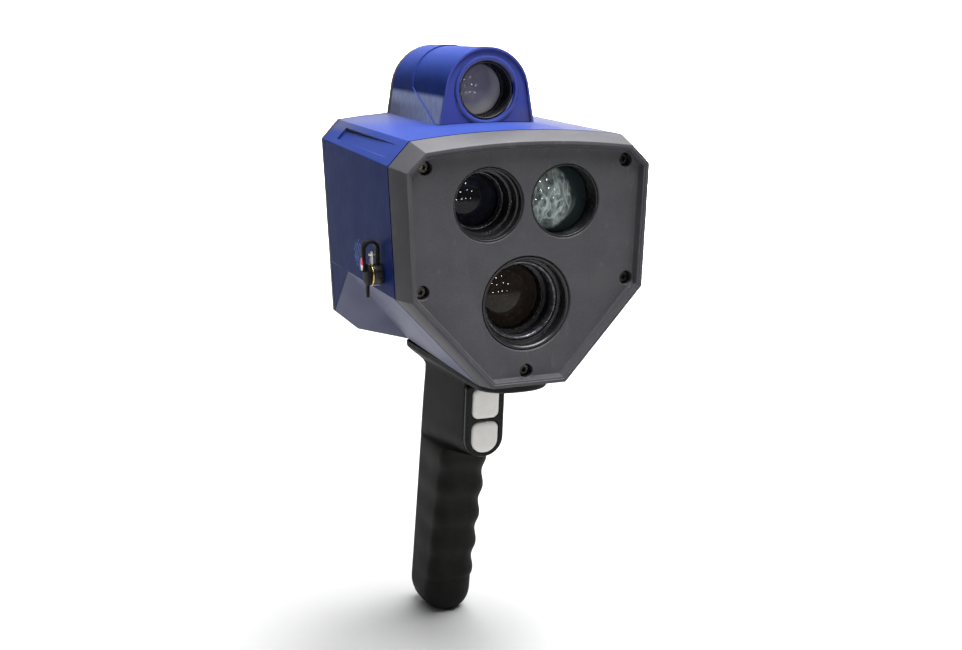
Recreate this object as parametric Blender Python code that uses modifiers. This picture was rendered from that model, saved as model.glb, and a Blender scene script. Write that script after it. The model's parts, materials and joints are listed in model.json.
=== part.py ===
"""Handheld laser and camera scanner with a pistol grip, as an assembly of separate pieces.

Lengths below are millimetres, and MM turns them into metres when a mesh is made.
The device frame has X across, Y from the front rim to the back and Z up from the
rim's lower edge. Its empty puts the world origin inside the hand grip.
"""

import math

import bmesh
import bpy
from mathutils import Matrix, Vector

MM = 0.001
ASSEMBLY = "handheld_scanner"
GAP = 0.3

# Where the hand holds the grip, in the device frame: the world origin.
GRIP_CENTRE = Vector((0.0, 132.0, -125.0))

# Front cover: half outlines from the top corner to the bottom corner, as (x, z).
RIM_OUTLINE = ((62.8, 135.1), (74.0, 124.3), (70.9, 53.0), (22.7, 0.0))
COVER_BACK_OUTLINE = ((65.2, 139.8), (78.0, 126.3), (74.2, 52.0), (23.9, -2.3))
TOP_CROWN = 4.2
COVER_DEPTH = 18.4
RIM_WIDTH = 3.2
POCKET_DEPTH = 5.2
POCKET_DRAFT = 0.9
PANEL_THICKNESS = 3.2
COVER_WALL = 3.2
COVER_SCREWS = ((-61.2, 126.4), (61.2, 126.4), (-63.1, 57.5), (63.1, 57.5), (0.0, 7.5))
COUNTERBORE_RADIUS = 4.0
COUNTERBORE_DEPTH = 7.0
SCREW_BOSS_RADIUS = 5.6
SCREW_HOLE_RADIUS = 2.3

# Optics, as (x, z) axes and radii of the holes in the front panel.
EMITTER_AXIS = (-23.4, 104.4)
RECEIVER_AXIS = (23.4, 104.4)
CAMERA_AXIS = (0.0, 46.9)
SMALL_APERTURE = 21.05
CAMERA_APERTURE = 27.4
BENCH_FRONT = 58.0
BENCH_THICKNESS = 3.0

# Housing, from the front gasket to the rear cover.
GASKET_THICKNESS = 0.8
HOUSING_FRONT = COVER_DEPTH + GASKET_THICKNESS + 0.4
HOUSING_REAR = 150.4
BODY_DEPTH = 155.3
HOUSING_WALL = 2.6
REAR_TOP = ((63.7, 141.7), (74.5, 130.0))
REAR_LOW = ((68.95, 19.6), (53.55, 6.6), (20.2, -2.3))
SIDE_CREASE_END = (71.75, 112.5, 52.0)
BOTTOM_CREASE_END = (20.5, 148.0, -2.3)
THUMB_RECESS_DEPTH = 2.0

# Sight housing on top: a round arch with leaning sides.
HOOD_ARCH = ((26.7, 161.9, 31.1), (27.3, 159.4, 30.9))
TURRET_ARCH = ((27.6, 162.2, 32.2), (28.1, 159.2, 31.8))
HOOD_BASE_Z = 138.0
HOOD_FRONT = 63.4
HOOD_WALL = 2.6
HOOD_LIP = 1.3
TURRET_FLOOR_Z = 146.15
HOOD_FACE_RECESS = 1.4
HOOD_SPLIT = ((127.0, 196.0), (115.5, 162.8), (69.5, 143.6), (60.0, 139.5))
SIGHT_Z = 163.3
SIGHT_APERTURE = 17.2

# Rear panel.
DISPLAY_CENTRE_Z = 88.0
DISPLAY_SIZE = (78.0, 50.0)
KEY_SIZE = (13.0, 8.0)
KEY_ROW_Z = 44.0
KEY_PITCH = 19.0
POWER_KEY = (52.0, 88.0)
REAR_SCREWS = ((-57.0, 134.0), (57.0, 134.0), (-56.0, 22.0), (56.0, 22.0))

# Grip: rows of (z, front half width, rear half width, front y, rear y, front radius, rear radius).
GRIP_LEAN_REAR = 0.1885
GRIP_LEAN_FRONT = 0.278
GRIP_HALF_WIDTH = 17.0
FIRST_RIDGE_Z = -94.3
FIRST_RIDGE_Y = 99.8
RIDGE_PITCH = 21.4
SCALLOP_DEPTH = 2.3
GRIP_BOTTOM_Z = -188.2
GRIP_SCREWS = ((0.0, 27.0), (-12.5, 136.0), (12.5, 136.0))

# Button pod on the grip's front, in a frame of its own that leans back.
POD_ORIGIN = (0.0, 65.4, -38.0)
POD_LEAN = math.radians(5.0)
POD_HALF_WIDTH = 12.75
POD_TOP = 22.8
POD_BOTTOM = -24.6
POD_THICKNESS = 3.0
BUTTON_WIDTH = 17.4

# Data socket on the left side wall, with its dust cap.
SOCKET_Y = 42.2
SOCKET_Z = 62.7
SOCKET_WALL_X = -74.75
SOCKET_RADIUS = 6.25


def make_materials():
    """One material per finish, as name: (colour, roughness, metallic)."""
    finishes = {
        "blue_paint": ((0.035, 0.06, 0.24), 0.4, 0.0),
        "grey_plastic": ((0.075, 0.077, 0.083), 0.6, 0.0),
        "soft_touch_black": ((0.018, 0.018, 0.019), 0.7, 0.0),
        "black_anodised": ((0.012, 0.012, 0.013), 0.35, 0.4),
        "black_plastic": ((0.02, 0.02, 0.022), 0.5, 0.0),
        "button_white": ((0.66, 0.65, 0.62), 0.45, 0.0),
        "coated_glass": ((0.03, 0.02, 0.06), 0.05, 0.0),
        "clear_glass": ((0.6, 0.68, 0.7), 0.05, 0.0),
        "steel": ((0.5, 0.5, 0.51), 0.3, 1.0),
        "brass": ((0.7, 0.5, 0.2), 0.3, 1.0),
        "aluminium": ((0.55, 0.56, 0.58), 0.4, 1.0),
        "rubber": ((0.02, 0.02, 0.02), 0.85, 0.0),
        "circuit_green": ((0.02, 0.16, 0.07), 0.5, 0.0),
        "display_dark": ((0.02, 0.025, 0.03), 0.1, 0.0),
        "battery_blue": ((0.04, 0.16, 0.3), 0.4, 0.0),
    }
    made = {}
    for name, (colour, roughness, metallic) in finishes.items():
        material = bpy.data.materials.new(name)
        material.use_nodes = True
        shader = material.node_tree.nodes["Principled BSDF"]
        shader.inputs["Base Color"].default_value = (*colour, 1.0)
        shader.inputs["Roughness"].default_value = roughness
        shader.inputs["Metallic"].default_value = metallic
        made[name] = material
    return made


# ---------------------------------------------------------------- outlines


def closed_outline(corners, crown, arch_points=9):
    """A symmetric outline, anticlockwise from the front, with a crowned top edge."""
    (top_x, top_z) = corners[0]
    points = []
    for i in range(arch_points):
        x = top_x * (1.0 - 2.0 * i / (arch_points - 1))
        points.append((x, top_z + crown * (1.0 - (x / top_x) ** 2)))
    points += [(-x, z) for x, z in corners[1:]]
    points += [(x, z) for x, z in reversed(corners[1:])]
    return points


def inset_outline(points, distance):
    """Moves each edge of an anticlockwise convex outline inwards, or outwards if negative."""
    count = len(points)
    moved = []
    for i in range(count):
        before, here, after = (Vector(points[(i + k) % count]) for k in (-1, 0, 1))
        first = (here - before).normalized()
        second = (after - here).normalized()
        first_normal = Vector((-first.y, first.x))
        second_normal = Vector((-second.y, second.x))
        bisector = first_normal + second_normal
        bisector /= bisector.dot(first_normal)
        moved.append(tuple(here + bisector * distance))
    return moved


def blend_corners(first, second, t):
    return tuple(
        (x0 + (x1 - x0) * t, z0 + (z1 - z0) * t) for (x0, z0), (x1, z1) in zip(first, second)
    )


def cover_outline(y, inset=0.0):
    """The flared front cover's outline at depth y."""
    corners = blend_corners(RIM_OUTLINE, COVER_BACK_OUTLINE, y / COVER_DEPTH)
    return inset_outline(closed_outline(corners, TOP_CROWN), inset)


def body_outline(y, inset=0.0):
    """The housing's outline at depth y, without its lower rear flare."""
    t = (y - COVER_DEPTH) / (BODY_DEPTH - COVER_DEPTH)
    side = COVER_BACK_OUTLINE[2]
    drift = (SIDE_CREASE_END[0] - side[0]) / (SIDE_CREASE_END[1] - COVER_DEPTH)
    rear_side = (side[0] + drift * (BODY_DEPTH - COVER_DEPTH), side[1])
    rear = (*REAR_TOP, rear_side, REAR_LOW[2])
    corners = blend_corners(COVER_BACK_OUTLINE, rear, t)
    return inset_outline(closed_outline(corners, TOP_CROWN), inset)


def rear_outline(inset=0.0):
    """The outline of the housing's rear end and of the rear cover."""
    return inset_outline(closed_outline((*REAR_TOP, *REAR_LOW), TOP_CROWN), inset)


def arch_outline(radius, centre_z, half_width, base_z, arc_points=17):
    """A round arch whose sides run down as tangents to the base corners, anticlockwise."""
    across = half_width
    down = base_z - centre_z
    reach = math.hypot(across, down)
    start = math.atan2(down, across) + math.acos(radius / reach)
    points = [(half_width, base_z)]
    for i in range(arc_points):
        angle = start + (math.pi - 2.0 * start) * i / (arc_points - 1)
        points.append((radius * math.cos(angle), centre_z + radius * math.sin(angle)))
    points.append((-half_width, base_z))
    return points


def tapered_arch(ends, y, inset, base_z):
    """The arch at depth y, between its sizes (radius, centre z, half width) at both ends."""
    t = (y - HOOD_FRONT) / (BODY_DEPTH - HOOD_FRONT)
    radius, centre_z, half_width = (a + (b - a) * t for a, b in zip(*ends))
    return arch_outline(radius - inset, centre_z, half_width - inset, base_z)


def arch_slab(name, ends, front, rear, inset, base_z):
    return slab_mesh(name, [(y, tapered_arch(ends, y, inset, base_z)) for y in (front, rear)])


def rounded_outline(half_width, low, high, low_radius, high_radius, steps=4):
    """A rectangle with round corners, in X and Z, anticlockwise from its lower right."""
    points = []
    corners = (
        (half_width - low_radius, low + low_radius, low_radius, -90.0),
        (half_width - high_radius, high - high_radius, high_radius, 0.0),
        (-half_width + high_radius, high - high_radius, high_radius, 90.0),
        (-half_width + low_radius, low + low_radius, low_radius, 180.0),
    )
    for x, z, radius, start in corners:
        for i in range(steps + 1):
            angle = math.radians(start + 90.0 * i / steps)
            points.append((x + radius * math.cos(angle), z + radius * math.sin(angle)))
    return points


def grip_section(z, front_half, rear_half, front_y, rear_y, front_radius, rear_radius, steps=5):
    """A level section of the grip: a four-sided outline with round corners, seen from above."""
    corners = (
        (rear_half - rear_radius, rear_y - rear_radius, rear_radius, 0.0),
        (-rear_half + rear_radius, rear_y - rear_radius, rear_radius, 90.0),
        (-front_half + front_radius, front_y + front_radius, front_radius, 180.0),
        (front_half - front_radius, front_y + front_radius, front_radius, 270.0),
    )
    ring = []
    for x, y, radius, start in corners:
        for i in range(steps + 1):
            angle = math.radians(start + 90.0 * i / steps)
            ring.append((x + radius * math.cos(angle), y + radius * math.sin(angle), z))
    return ring


# ---------------------------------------------------------------- solids


class Workshop:
    """Holds the collections, the materials and the frames that pieces are parented to."""

    def __init__(self):
        scene_root = bpy.context.scene.collection
        self.parts = bpy.data.collections.new(ASSEMBLY)
        self.cutters = bpy.data.collections.new("cutters")
        scene_root.children.link(self.parts)
        scene_root.children.link(self.cutters)
        self.cutters.hide_render = True
        self.materials = make_materials()
        self.device = self.frame("device_frame", -GRIP_CENTRE)
        self.pod = self.frame("pod_frame", Vector(POD_ORIGIN), self.device)
        self.pod.rotation_euler = (POD_LEAN, 0.0, 0.0)

    def frame(self, name, place, parent=None):
        empty = bpy.data.objects.new(name, None)
        empty.location = place * MM
        empty.parent = parent
        self.parts.objects.link(empty)
        return empty

    def add(self, name, mesh, material=None, parent=None, place=(0.0, 0.0, 0.0)):
        """Adds a mesh as a part, or as a hidden cutter when it has no material."""
        obj = bpy.data.objects.new(name, mesh)
        obj.parent = parent or self.device
        obj.location = Vector(place) * MM
        if material is None:
            self.cutters.objects.link(obj)
            obj.hide_render = True
            obj.display_type = "WIRE"
            return obj
        self.parts.objects.link(obj)
        mesh.materials.clear()
        mesh.materials.append(self.materials[material])
        return obj


def boolean(obj, tool, operation="DIFFERENCE"):
    modifier = obj.modifiers.new(f"{operation.lower()}_{tool.name}", "BOOLEAN")
    modifier.operation = operation
    modifier.object = tool
    modifier.solver = "EXACT"


def mesh_from(bm, name):
    bm.transform(Matrix.Scale(MM, 4))
    bmesh.ops.recalc_face_normals(bm, faces=bm.faces)
    mesh = bpy.data.meshes.new(name)
    bm.to_mesh(mesh)
    bm.free()
    return mesh


def loft_mesh(name, rings):
    """A closed solid through rings with equal numbers of points."""
    bm = bmesh.new()
    rows = [[bm.verts.new(point) for point in ring] for ring in rings]
    count = len(rows[0])
    for lower, upper in zip(rows, rows[1:]):
        for i in range(count):
            j = (i + 1) % count
            bm.faces.new((lower[i], lower[j], upper[j], upper[i]))
    bm.faces.new(reversed(rows[0]))
    bm.faces.new(rows[-1])
    return mesh_from(bm, name)


def slab_mesh(name, levels):
    """A loft along Y through (y, outline) levels."""
    return loft_mesh(name, [[(x, y, z) for x, z in outline] for y, outline in levels])


def hull_mesh(name, points):
    bm = bmesh.new()
    for point in points:
        bm.verts.new(point)
    made = bmesh.ops.convex_hull(bm, input=bm.verts)
    left = made["geom_interior"] + made["geom_unused"]
    loose = {item for item in left if isinstance(item, bmesh.types.BMVert)}
    bmesh.ops.delete(bm, geom=list(loose), context="VERTS")
    return mesh_from(bm, name)


def box_mesh(name, low, high, bevel=0.0):
    low, high = Vector(low), Vector(high)
    bm = bmesh.new()
    size = high - low
    bmesh.ops.create_cube(bm, size=1.0, matrix=Matrix.Diagonal((*size, 1.0)))
    bmesh.ops.translate(bm, verts=bm.verts, vec=(low + high) / 2.0)
    if bevel:
        bmesh.ops.bevel(bm, geom=bm.edges[:], offset=bevel, segments=1, affect="EDGES")
    return mesh_from(bm, name)


AXIS_TURNS = {
    "front": Matrix.Rotation(math.radians(90.0), 4, "X"),
    "left": Matrix.Rotation(math.radians(-90.0), 4, "Y"),
    "up": Matrix.Identity(4),
}


def cylinder_mesh(name, centre, radius, length, axis="front", segments=24):
    """A cylinder that runs from its centre point away from the axis's direction."""
    bm = bmesh.new()
    bmesh.ops.create_cone(
        bm, cap_ends=True, segments=segments, radius1=radius, radius2=radius, depth=length
    )
    bmesh.ops.translate(bm, verts=bm.verts, vec=(0.0, 0.0, -length / 2.0))
    bmesh.ops.transform(bm, matrix=AXIS_TURNS[axis], verts=bm.verts)
    bmesh.ops.translate(bm, verts=bm.verts, vec=centre)
    return mesh_from(bm, name)


def profile_mesh(name, points, closed):
    """A turned piece's profile as (radius, depth) points, front outer side first."""
    bm = bmesh.new()
    verts = [bm.verts.new((radius, 0.0, -depth)) for radius, depth in points]
    pairs = list(zip(verts, verts[1:]))
    if closed:
        pairs.append((verts[-1], verts[0]))
    for pair in pairs:
        bm.edges.new(pair)
    bm.transform(Matrix.Scale(MM, 4))
    mesh = bpy.data.meshes.new(name)
    bm.to_mesh(mesh)
    bm.free()
    return mesh


def turned(shop, name, points, place, material, axis="front", steps=16, closed=True, mesh=None):
    """A turned piece. Its profile is a closed ring, or an open line that ends on the axis."""
    mesh = mesh or profile_mesh(name, points, closed)
    obj = shop.add(name, mesh, material, place=place)
    obj.rotation_euler = AXIS_TURNS[axis].to_euler()
    screw = obj.modifiers.new("turn", "SCREW")
    screw.axis = "Z"
    screw.steps = steps
    screw.render_steps = steps
    screw.use_merge_vertices = True
    screw.merge_threshold = 0.00001
    screw.use_smooth_shade = True
    return obj


def cut(shop, obj, mesh, operation="DIFFERENCE", parent=None):
    """Cuts or joins a hidden tool that stays in the cutters' collection."""
    tool = shop.add(mesh.name, mesh, parent=parent)
    boolean(obj, tool, operation)
    return tool


# ---------------------------------------------------------------- front


def build_front_cover(shop):
    """One grey moulding: flared rim, sunk panel, three apertures and five counterbores."""
    outer = slab_mesh("front_cover", [(y, cover_outline(y)) for y in (0.0, COVER_DEPTH)])
    cover = shop.add("front_cover", outer, "grey_plastic")
    pocket = [(-1.0, cover_outline(0.0, RIM_WIDTH - POCKET_DRAFT * 0.2))]
    pocket.append((POCKET_DEPTH, cover_outline(0.0, RIM_WIDTH + POCKET_DRAFT)))
    cut(shop, cover, slab_mesh("panel_pocket", pocket))
    hollow_front = POCKET_DEPTH + PANEL_THICKNESS
    hollow = [(y, cover_outline(y, COVER_WALL)) for y in (hollow_front, COVER_DEPTH + 1.0)]
    cut(shop, cover, slab_mesh("cover_hollow", hollow))
    for i, (x, z) in enumerate(COVER_SCREWS, 1):
        length = COVER_DEPTH - POCKET_DEPTH - 1.0
        start = (x, POCKET_DEPTH + 1.0, z)
        cut(shop, cover, cylinder_mesh(f"screw_boss_{i}", start, SCREW_BOSS_RADIUS, length), "UNION")
    for i, (x, z) in enumerate(COVER_SCREWS, 1):
        bore = COUNTERBORE_DEPTH + 1.0
        mouth = (x, POCKET_DEPTH - 1.0, z)
        cut(shop, cover, cylinder_mesh(f"counterbore_{i}", mouth, COUNTERBORE_RADIUS, bore))
        through = (x, POCKET_DEPTH + 1.0, z)
        way = cylinder_mesh(f"screw_way_{i}", through, SCREW_HOLE_RADIUS, COVER_DEPTH, segments=16)
        cut(shop, cover, way)
    apertures = (
        (EMITTER_AXIS, SMALL_APERTURE),
        (RECEIVER_AXIS, SMALL_APERTURE),
        (CAMERA_AXIS, CAMERA_APERTURE),
    )
    for i, ((x, z), radius) in enumerate(apertures, 1):
        start = (x, POCKET_DEPTH - 2.0, z)
        cut(shop, cover, cylinder_mesh(f"aperture_{i}", start, radius, 8.0, segments=32))


def build_front_gasket(shop):
    y = COVER_DEPTH + 0.2
    levels = [(y, body_outline(y, 1.0)), (y + GASKET_THICKNESS, body_outline(y, 1.0))]
    gasket = shop.add("front_gasket", slab_mesh("front_gasket", levels), "rubber")
    inner = [(y - 1.0, body_outline(y, 2.6)), (y + 2.0, body_outline(y, 2.6))]
    cut(shop, gasket, slab_mesh("gasket_window", inner))


def screw_profile(head_radius, head_height, shank_radius, length, socket_radius, socket_depth):
    """A socket-head cap screw, from the socket's floor out and down to the tip."""
    return (
        (0.0, socket_depth),
        (socket_radius, socket_depth),
        (socket_radius, 0.0),
        (head_radius, 0.0),
        (head_radius, head_height),
        (shank_radius, head_height),
        (shank_radius, head_height + length),
        (0.0, head_height + length),
    )


def build_cover_screws(shop):
    """Five M4 cap screws deep in the front cover's counterbores."""
    points = screw_profile(3.5, 4.0, 1.95, 9.0, 1.7, 2.0)
    mesh = profile_mesh("cover_screw", points, closed=False)
    y = POCKET_DEPTH + COUNTERBORE_DEPTH - 4.0 - GAP
    for i, (x, z) in enumerate(COVER_SCREWS, 1):
        turned(shop, f"cover_screw_{i}", None, (x, y, z), "steel", steps=12, mesh=mesh)


# ---------------------------------------------------------------- housing


def prism_levels(front, rear, inset):
    """The housing's tapering form with its V-shaped belly, as loft levels."""
    return [(y, body_outline(y, inset)) for y in (front, rear)]


def flare_points(rear, inset):
    """Corners of the fuller rear end, which grows out of the belly along a slanting crease."""
    points = [(x, rear, z) for x, z in rear_outline(inset)]
    for sign in (-1.0, 1.0):
        x, y, z = SIDE_CREASE_END
        points.append((sign * (x - inset), y, z + inset * 0.4))
        points.append((sign * (x - inset - 4.0), y, z + 60.0))
        x, y, z = BOTTOM_CREASE_END
        points.append((sign * (x - inset * 0.6), min(y, rear - 0.1), z + inset))
    return points


def hood_space_mesh(name, offset):
    """Everything in front of the step between the hood and the turret, moved back by offset."""
    outline = [(y + offset, z) for y, z in HOOD_SPLIT]
    outline += [(50.0, 139.5), (50.0, 196.0)]
    return loft_mesh(name, [[(x, y, z) for y, z in outline] for x in (-40.0, 40.0)])


def build_main_housing(shop):
    """The blue shell: crowned top, chamfers, V-shaped belly and the sight's turret."""
    prism = slab_mesh("main_housing", prism_levels(HOUSING_FRONT, HOUSING_REAR, 0.0))
    housing = shop.add("main_housing", prism, "blue_paint")
    cut(shop, housing, hull_mesh("rear_flare", flare_points(HOUSING_REAR - 0.001, 0.0)), "UNION")
    arch = arch_slab("turret_solid", TURRET_ARCH, 65.0, HOUSING_REAR, 0.0, HOOD_BASE_Z)
    turret = shop.add("turret_solid", arch)
    cut(shop, turret, hood_space_mesh("hood_space", GAP))
    boolean(housing, turret, "UNION")
    rear = HOUSING_REAR + 2.0
    cut(shop, housing, arch_slab("turret_hollow", TURRET_ARCH, 60.0, rear, HOOD_WALL, TURRET_FLOOR_Z))
    inner = prism_levels(HOUSING_FRONT - 1.0, HOUSING_REAR + 1.0, HOUSING_WALL)
    cut(shop, housing, slab_mesh("housing_hollow", inner))
    cut(shop, housing, hull_mesh("flare_hollow", flare_points(HOUSING_REAR + 1.0, HOUSING_WALL)))
    hole = (SOCKET_WALL_X - 2.0, SOCKET_Y, SOCKET_Z)
    cut(shop, housing, cylinder_mesh("socket_hole", hole, 5.3, 12.0, axis="left"))
    cut(shop, housing, box_mesh("wiring_window", (-9.0, 84.0, -8.0), (9.0, 124.0, 6.0)))
    for i, (x, y) in enumerate(GRIP_SCREWS, 1):
        way = cylinder_mesh(f"grip_screw_way_{i}", (x, y, 3.0), 2.0, 8.0, axis="up", segments=12)
        cut(shop, housing, way)
    for sign, side in ((-1.0, "left"), (1.0, "right")):
        cut(shop, housing, thumb_recess_mesh(f"thumb_recess_{side}", sign))


def thumb_recess_mesh(name, sign):
    """A shallow ramp in a top chamfer, deepest at the back and flush at the front."""
    low = Vector((COVER_BACK_OUTLINE[1][0], 0.0, COVER_BACK_OUTLINE[1][1]))
    high = Vector((COVER_BACK_OUTLINE[0][0], 0.0, COVER_BACK_OUTLINE[0][1]))
    rear_low = Vector((REAR_TOP[1][0], 0.0, REAR_TOP[1][1]))
    rear_high = Vector((REAR_TOP[0][0], 0.0, REAR_TOP[0][1]))
    inward = Vector((-0.7, 0.0, -0.7))
    rings = []
    for y, depth in ((30.0, 0.0), (128.0, THUMB_RECESS_DEPTH)):
        t = (y - COVER_DEPTH) / (BODY_DEPTH - COVER_DEPTH)
        bottom, top = low.lerp(rear_low, t), high.lerp(rear_high, t)
        ring = []
        for across, level in ((0.22, 6.0), (0.78, 6.0), (0.78, 0.0), (0.22, 0.0)):
            point = bottom.lerp(top, across) - inward * level
            point += inward * (depth if level == 0.0 else 0.0)
            ring.append((sign * point.x, y, point.z))
        rings.append(ring)
    return loft_mesh(name, rings)


def build_sight_hood(shop):
    """The front hood of the sight, with a lip round its sunk face and a bevelled ring."""
    solid = arch_slab("sight_hood", HOOD_ARCH, HOOD_FRONT, 130.0, 0.0, HOOD_BASE_Z)
    hood = shop.add("sight_hood", solid, "blue_paint")
    keep = hood_space_mesh("hood_keep", 0.0)
    cut(shop, hood, keep, "INTERSECT")
    below = HOOD_BASE_Z - 2.0
    cut(shop, hood, arch_slab("hood_hollow", HOOD_ARCH, HOOD_FRONT + 5.0, 132.0, HOOD_WALL, below))
    face_rear = HOOD_FRONT + HOOD_FACE_RECESS
    cut(shop, hood, arch_slab("hood_face", HOOD_ARCH, HOOD_FRONT - 2.0, face_rear, HOOD_LIP, below))
    start = (0.0, HOOD_FRONT + 0.4, SIGHT_Z)
    ring = cylinder_mesh("hood_ring", start, SIGHT_APERTURE + 3.0, 3.0, segments=32)
    cut(shop, hood, ring, "UNION")
    bore = (0.0, HOOD_FRONT - 3.0, SIGHT_Z)
    cut(shop, hood, cylinder_mesh("hood_bore", bore, SIGHT_APERTURE, 12.0, segments=32))
    cut(shop, hood, slab_mesh("body_clearance", prism_levels(HOUSING_FRONT, HOUSING_REAR, -GAP)))


# ---------------------------------------------------------------- rear


def rear_solid(name, front, rear, inset):
    return slab_mesh(name, [(y, rear_outline(inset)) for y in (front, rear)])


def build_rear_cover(shop):
    """The dark plate that closes the back, with its display, keys and sight openings."""
    front = HOUSING_REAR + GASKET_THICKNESS + 0.4
    cover = shop.add("rear_cover", rear_solid("rear_cover", front, BODY_DEPTH, 0.0), "grey_plastic")
    arch = [(y, tapered_arch(TURRET_ARCH, BODY_DEPTH, 0.0, HOOD_BASE_Z)) for y in (front, BODY_DEPTH)]
    cut(shop, cover, slab_mesh("rear_arch", arch), "UNION")
    levels = [(y, display_outline(0.0)) for y in (BODY_DEPTH - 1.6, BODY_DEPTH + 1.0)]
    cut(shop, cover, slab_mesh("window_seat", levels))
    levels = [(y, display_outline(4.0)) for y in (front - 1.0, BODY_DEPTH)]
    cut(shop, cover, slab_mesh("display_opening", levels))
    for i, (x, z) in enumerate(key_places(), 1):
        outline = key_outline(i, x, z, -GAP)
        levels = [(y, outline) for y in (front - 1.0, BODY_DEPTH + 1.0)]
        cut(shop, cover, slab_mesh(f"key_opening_{i}", levels))
    for i, (x, z) in enumerate(REAR_SCREWS, 1):
        start = (x, front - 1.0, z)
        cut(shop, cover, cylinder_mesh(f"rear_screw_way_{i}", start, 1.9, 8.0, segments=12))
        head = (x, BODY_DEPTH - 2.4, z)
        cut(shop, cover, cylinder_mesh(f"rear_counterbore_{i}", head, 3.1, 4.0, segments=20))
    start = (0.0, front - 1.0, SIGHT_Z)
    cut(shop, cover, cylinder_mesh("eyepiece_way", start, 13.2, 8.0, segments=32))


def key_places():
    """Four keys in a row below the display, then the round power key beside it."""
    places = [((i - 1.5) * KEY_PITCH, KEY_ROW_Z) for i in range(4)]
    return places + [POWER_KEY]


def key_outline(number, x, z, inset):
    if number == 5:
        outline = rounded_outline(5.0, -5.0, 5.0, 4.99, 4.99)
    else:
        half_x, half_z = (value / 2.0 for value in KEY_SIZE)
        outline = rounded_outline(half_x, -half_z, half_z, 2.0, 2.0)
    return [(x + px, z + pz) for px, pz in inset_outline(outline, inset)]


def build_keys(shop):
    """Keys that press forward, each with a flange that the rear cover holds back."""
    flange_rear = HOUSING_REAR + GASKET_THICKNESS + 0.4 - GAP
    for i, (x, z) in enumerate(key_places(), 1):
        name = "power_key" if i == 5 else f"menu_key_{i}"
        levels = [
            (flange_rear - 2.6, key_outline(i, 0.0, 0.0, 1.5)),
            (flange_rear - 1.2, key_outline(i, 0.0, 0.0, 1.5)),
            (flange_rear - 1.2, key_outline(i, 0.0, 0.0, -1.2)),
            (flange_rear, key_outline(i, 0.0, 0.0, -1.2)),
            (flange_rear, key_outline(i, 0.0, 0.0, 0.0)),
            (BODY_DEPTH + 0.6, key_outline(i, 0.0, 0.0, 0.0)),
            (BODY_DEPTH + 1.2, key_outline(i, 0.0, 0.0, 0.8)),
        ]
        levels = [(y - BODY_DEPTH, outline) for y, outline in levels]
        finish = "button_white" if i == 5 else "rubber"
        shop.add(name, slab_mesh(name, levels), finish, place=(x, BODY_DEPTH, z))


def build_rear_gasket(shop):
    """A seal between the housing and the rear cover that also runs round the turret's end."""
    front = HOUSING_REAR + 0.2
    rear = front + GASKET_THICKNESS
    gasket = shop.add("rear_gasket", rear_solid("rear_gasket", front, rear, 1.0), "rubber")
    cut(shop, gasket, arch_slab("gasket_arch", TURRET_ARCH, front, rear, 1.0, HOOD_BASE_Z), "UNION")
    cut(shop, gasket, rear_solid("gasket_inner", front - 1.0, rear + 1.0, 2.6))
    cut(shop, gasket, arch_slab("gasket_arch_inner", TURRET_ARCH, front - 1.0, rear + 1.0, 2.6, 146.8))


def build_rear_screws(shop):
    points = screw_profile(2.75, 2.0, 1.45, 1.6, 1.2, 1.2)
    mesh = profile_mesh("rear_screw", points, closed=False)
    for i, (x, z) in enumerate(REAR_SCREWS, 1):
        screw = turned(
            shop, f"rear_screw_{i}", None, (x, BODY_DEPTH - 0.2, z), "steel", steps=12, mesh=mesh
        )
        screw.rotation_euler = (math.radians(-90.0), 0.0, 0.0)


def display_outline(margin):
    half_x, half_z = (value / 2.0 - margin for value in DISPLAY_SIZE)
    return rounded_outline(half_x, DISPLAY_CENTRE_Z - half_z, DISPLAY_CENTRE_Z + half_z, 3.0, 3.0)


def build_display(shop):
    half_x, half_z = (value / 2.0 for value in DISPLAY_SIZE)
    levels = [(y, display_outline(GAP)) for y in (BODY_DEPTH - 1.3, BODY_DEPTH - 0.1)]
    shop.add("display_window", slab_mesh("display_window", levels), "display_dark")
    front = HOUSING_REAR - 6.0
    low = (-half_x + 1.0, front, DISPLAY_CENTRE_Z - half_z + 1.0)
    high = (half_x - 1.0, HOUSING_REAR + 0.5, DISPLAY_CENTRE_Z + half_z - 1.0)
    shop.add("display_module", box_mesh("display_module", low, high, 0.8), "black_plastic")


# ---------------------------------------------------------------- optics


def lens_profile(radius, front, thickness, front_bulge, rear_bulge, points=3):
    """A biconvex element's outline from its front pole to its rear pole."""
    profile = []
    for i in range(points):
        r = radius * i / (points - 1)
        profile.append((r, front + front_bulge * (r / radius) ** 2))
    for i in range(points - 1, -1, -1):
        r = radius * i / (points - 1)
        profile.append((r, front + thickness - rear_bulge * (r / radius) ** 2))
    return profile


def build_emitter(shop):
    """The laser transmitter: barrel, front lens, retaining ring and diode module."""
    x, z = EMITTER_AXIS
    place = (x, 0.0, z)
    barrel = (
        (20.7, 6.0), (20.7, 44.0), (16.0, 44.0), (16.0, 74.0), (11.0, 74.0), (11.0, 36.0),
        (17.0, 36.0), (17.0, 17.0), (18.6, 17.0), (18.6, 10.0), (19.7, 10.0), (19.7, 6.0),
    )
    turned(shop, "emitter_barrel", barrel, place, "black_anodised", steps=20)
    lens = lens_profile(16.7, 29.0, 6.5, 3.0, 1.2)
    turned(shop, "emitter_lens", lens, place, "coated_glass", closed=False)
    ring = ((16.7, 24.0), (16.7, 28.4), (15.0, 28.4), (15.0, 24.0))
    turned(shop, "emitter_ring", ring, place, "black_anodised", steps=20)
    diode = (
        (0.0, 74.6), (9.0, 74.6), (9.0, 80.0), (13.0, 80.0), (13.0, 84.0), (8.0, 84.0),
        (8.0, 98.0), (0.0, 98.0),
    )
    turned(shop, "laser_diode_module", diode, place, "brass", closed=False)


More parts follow.
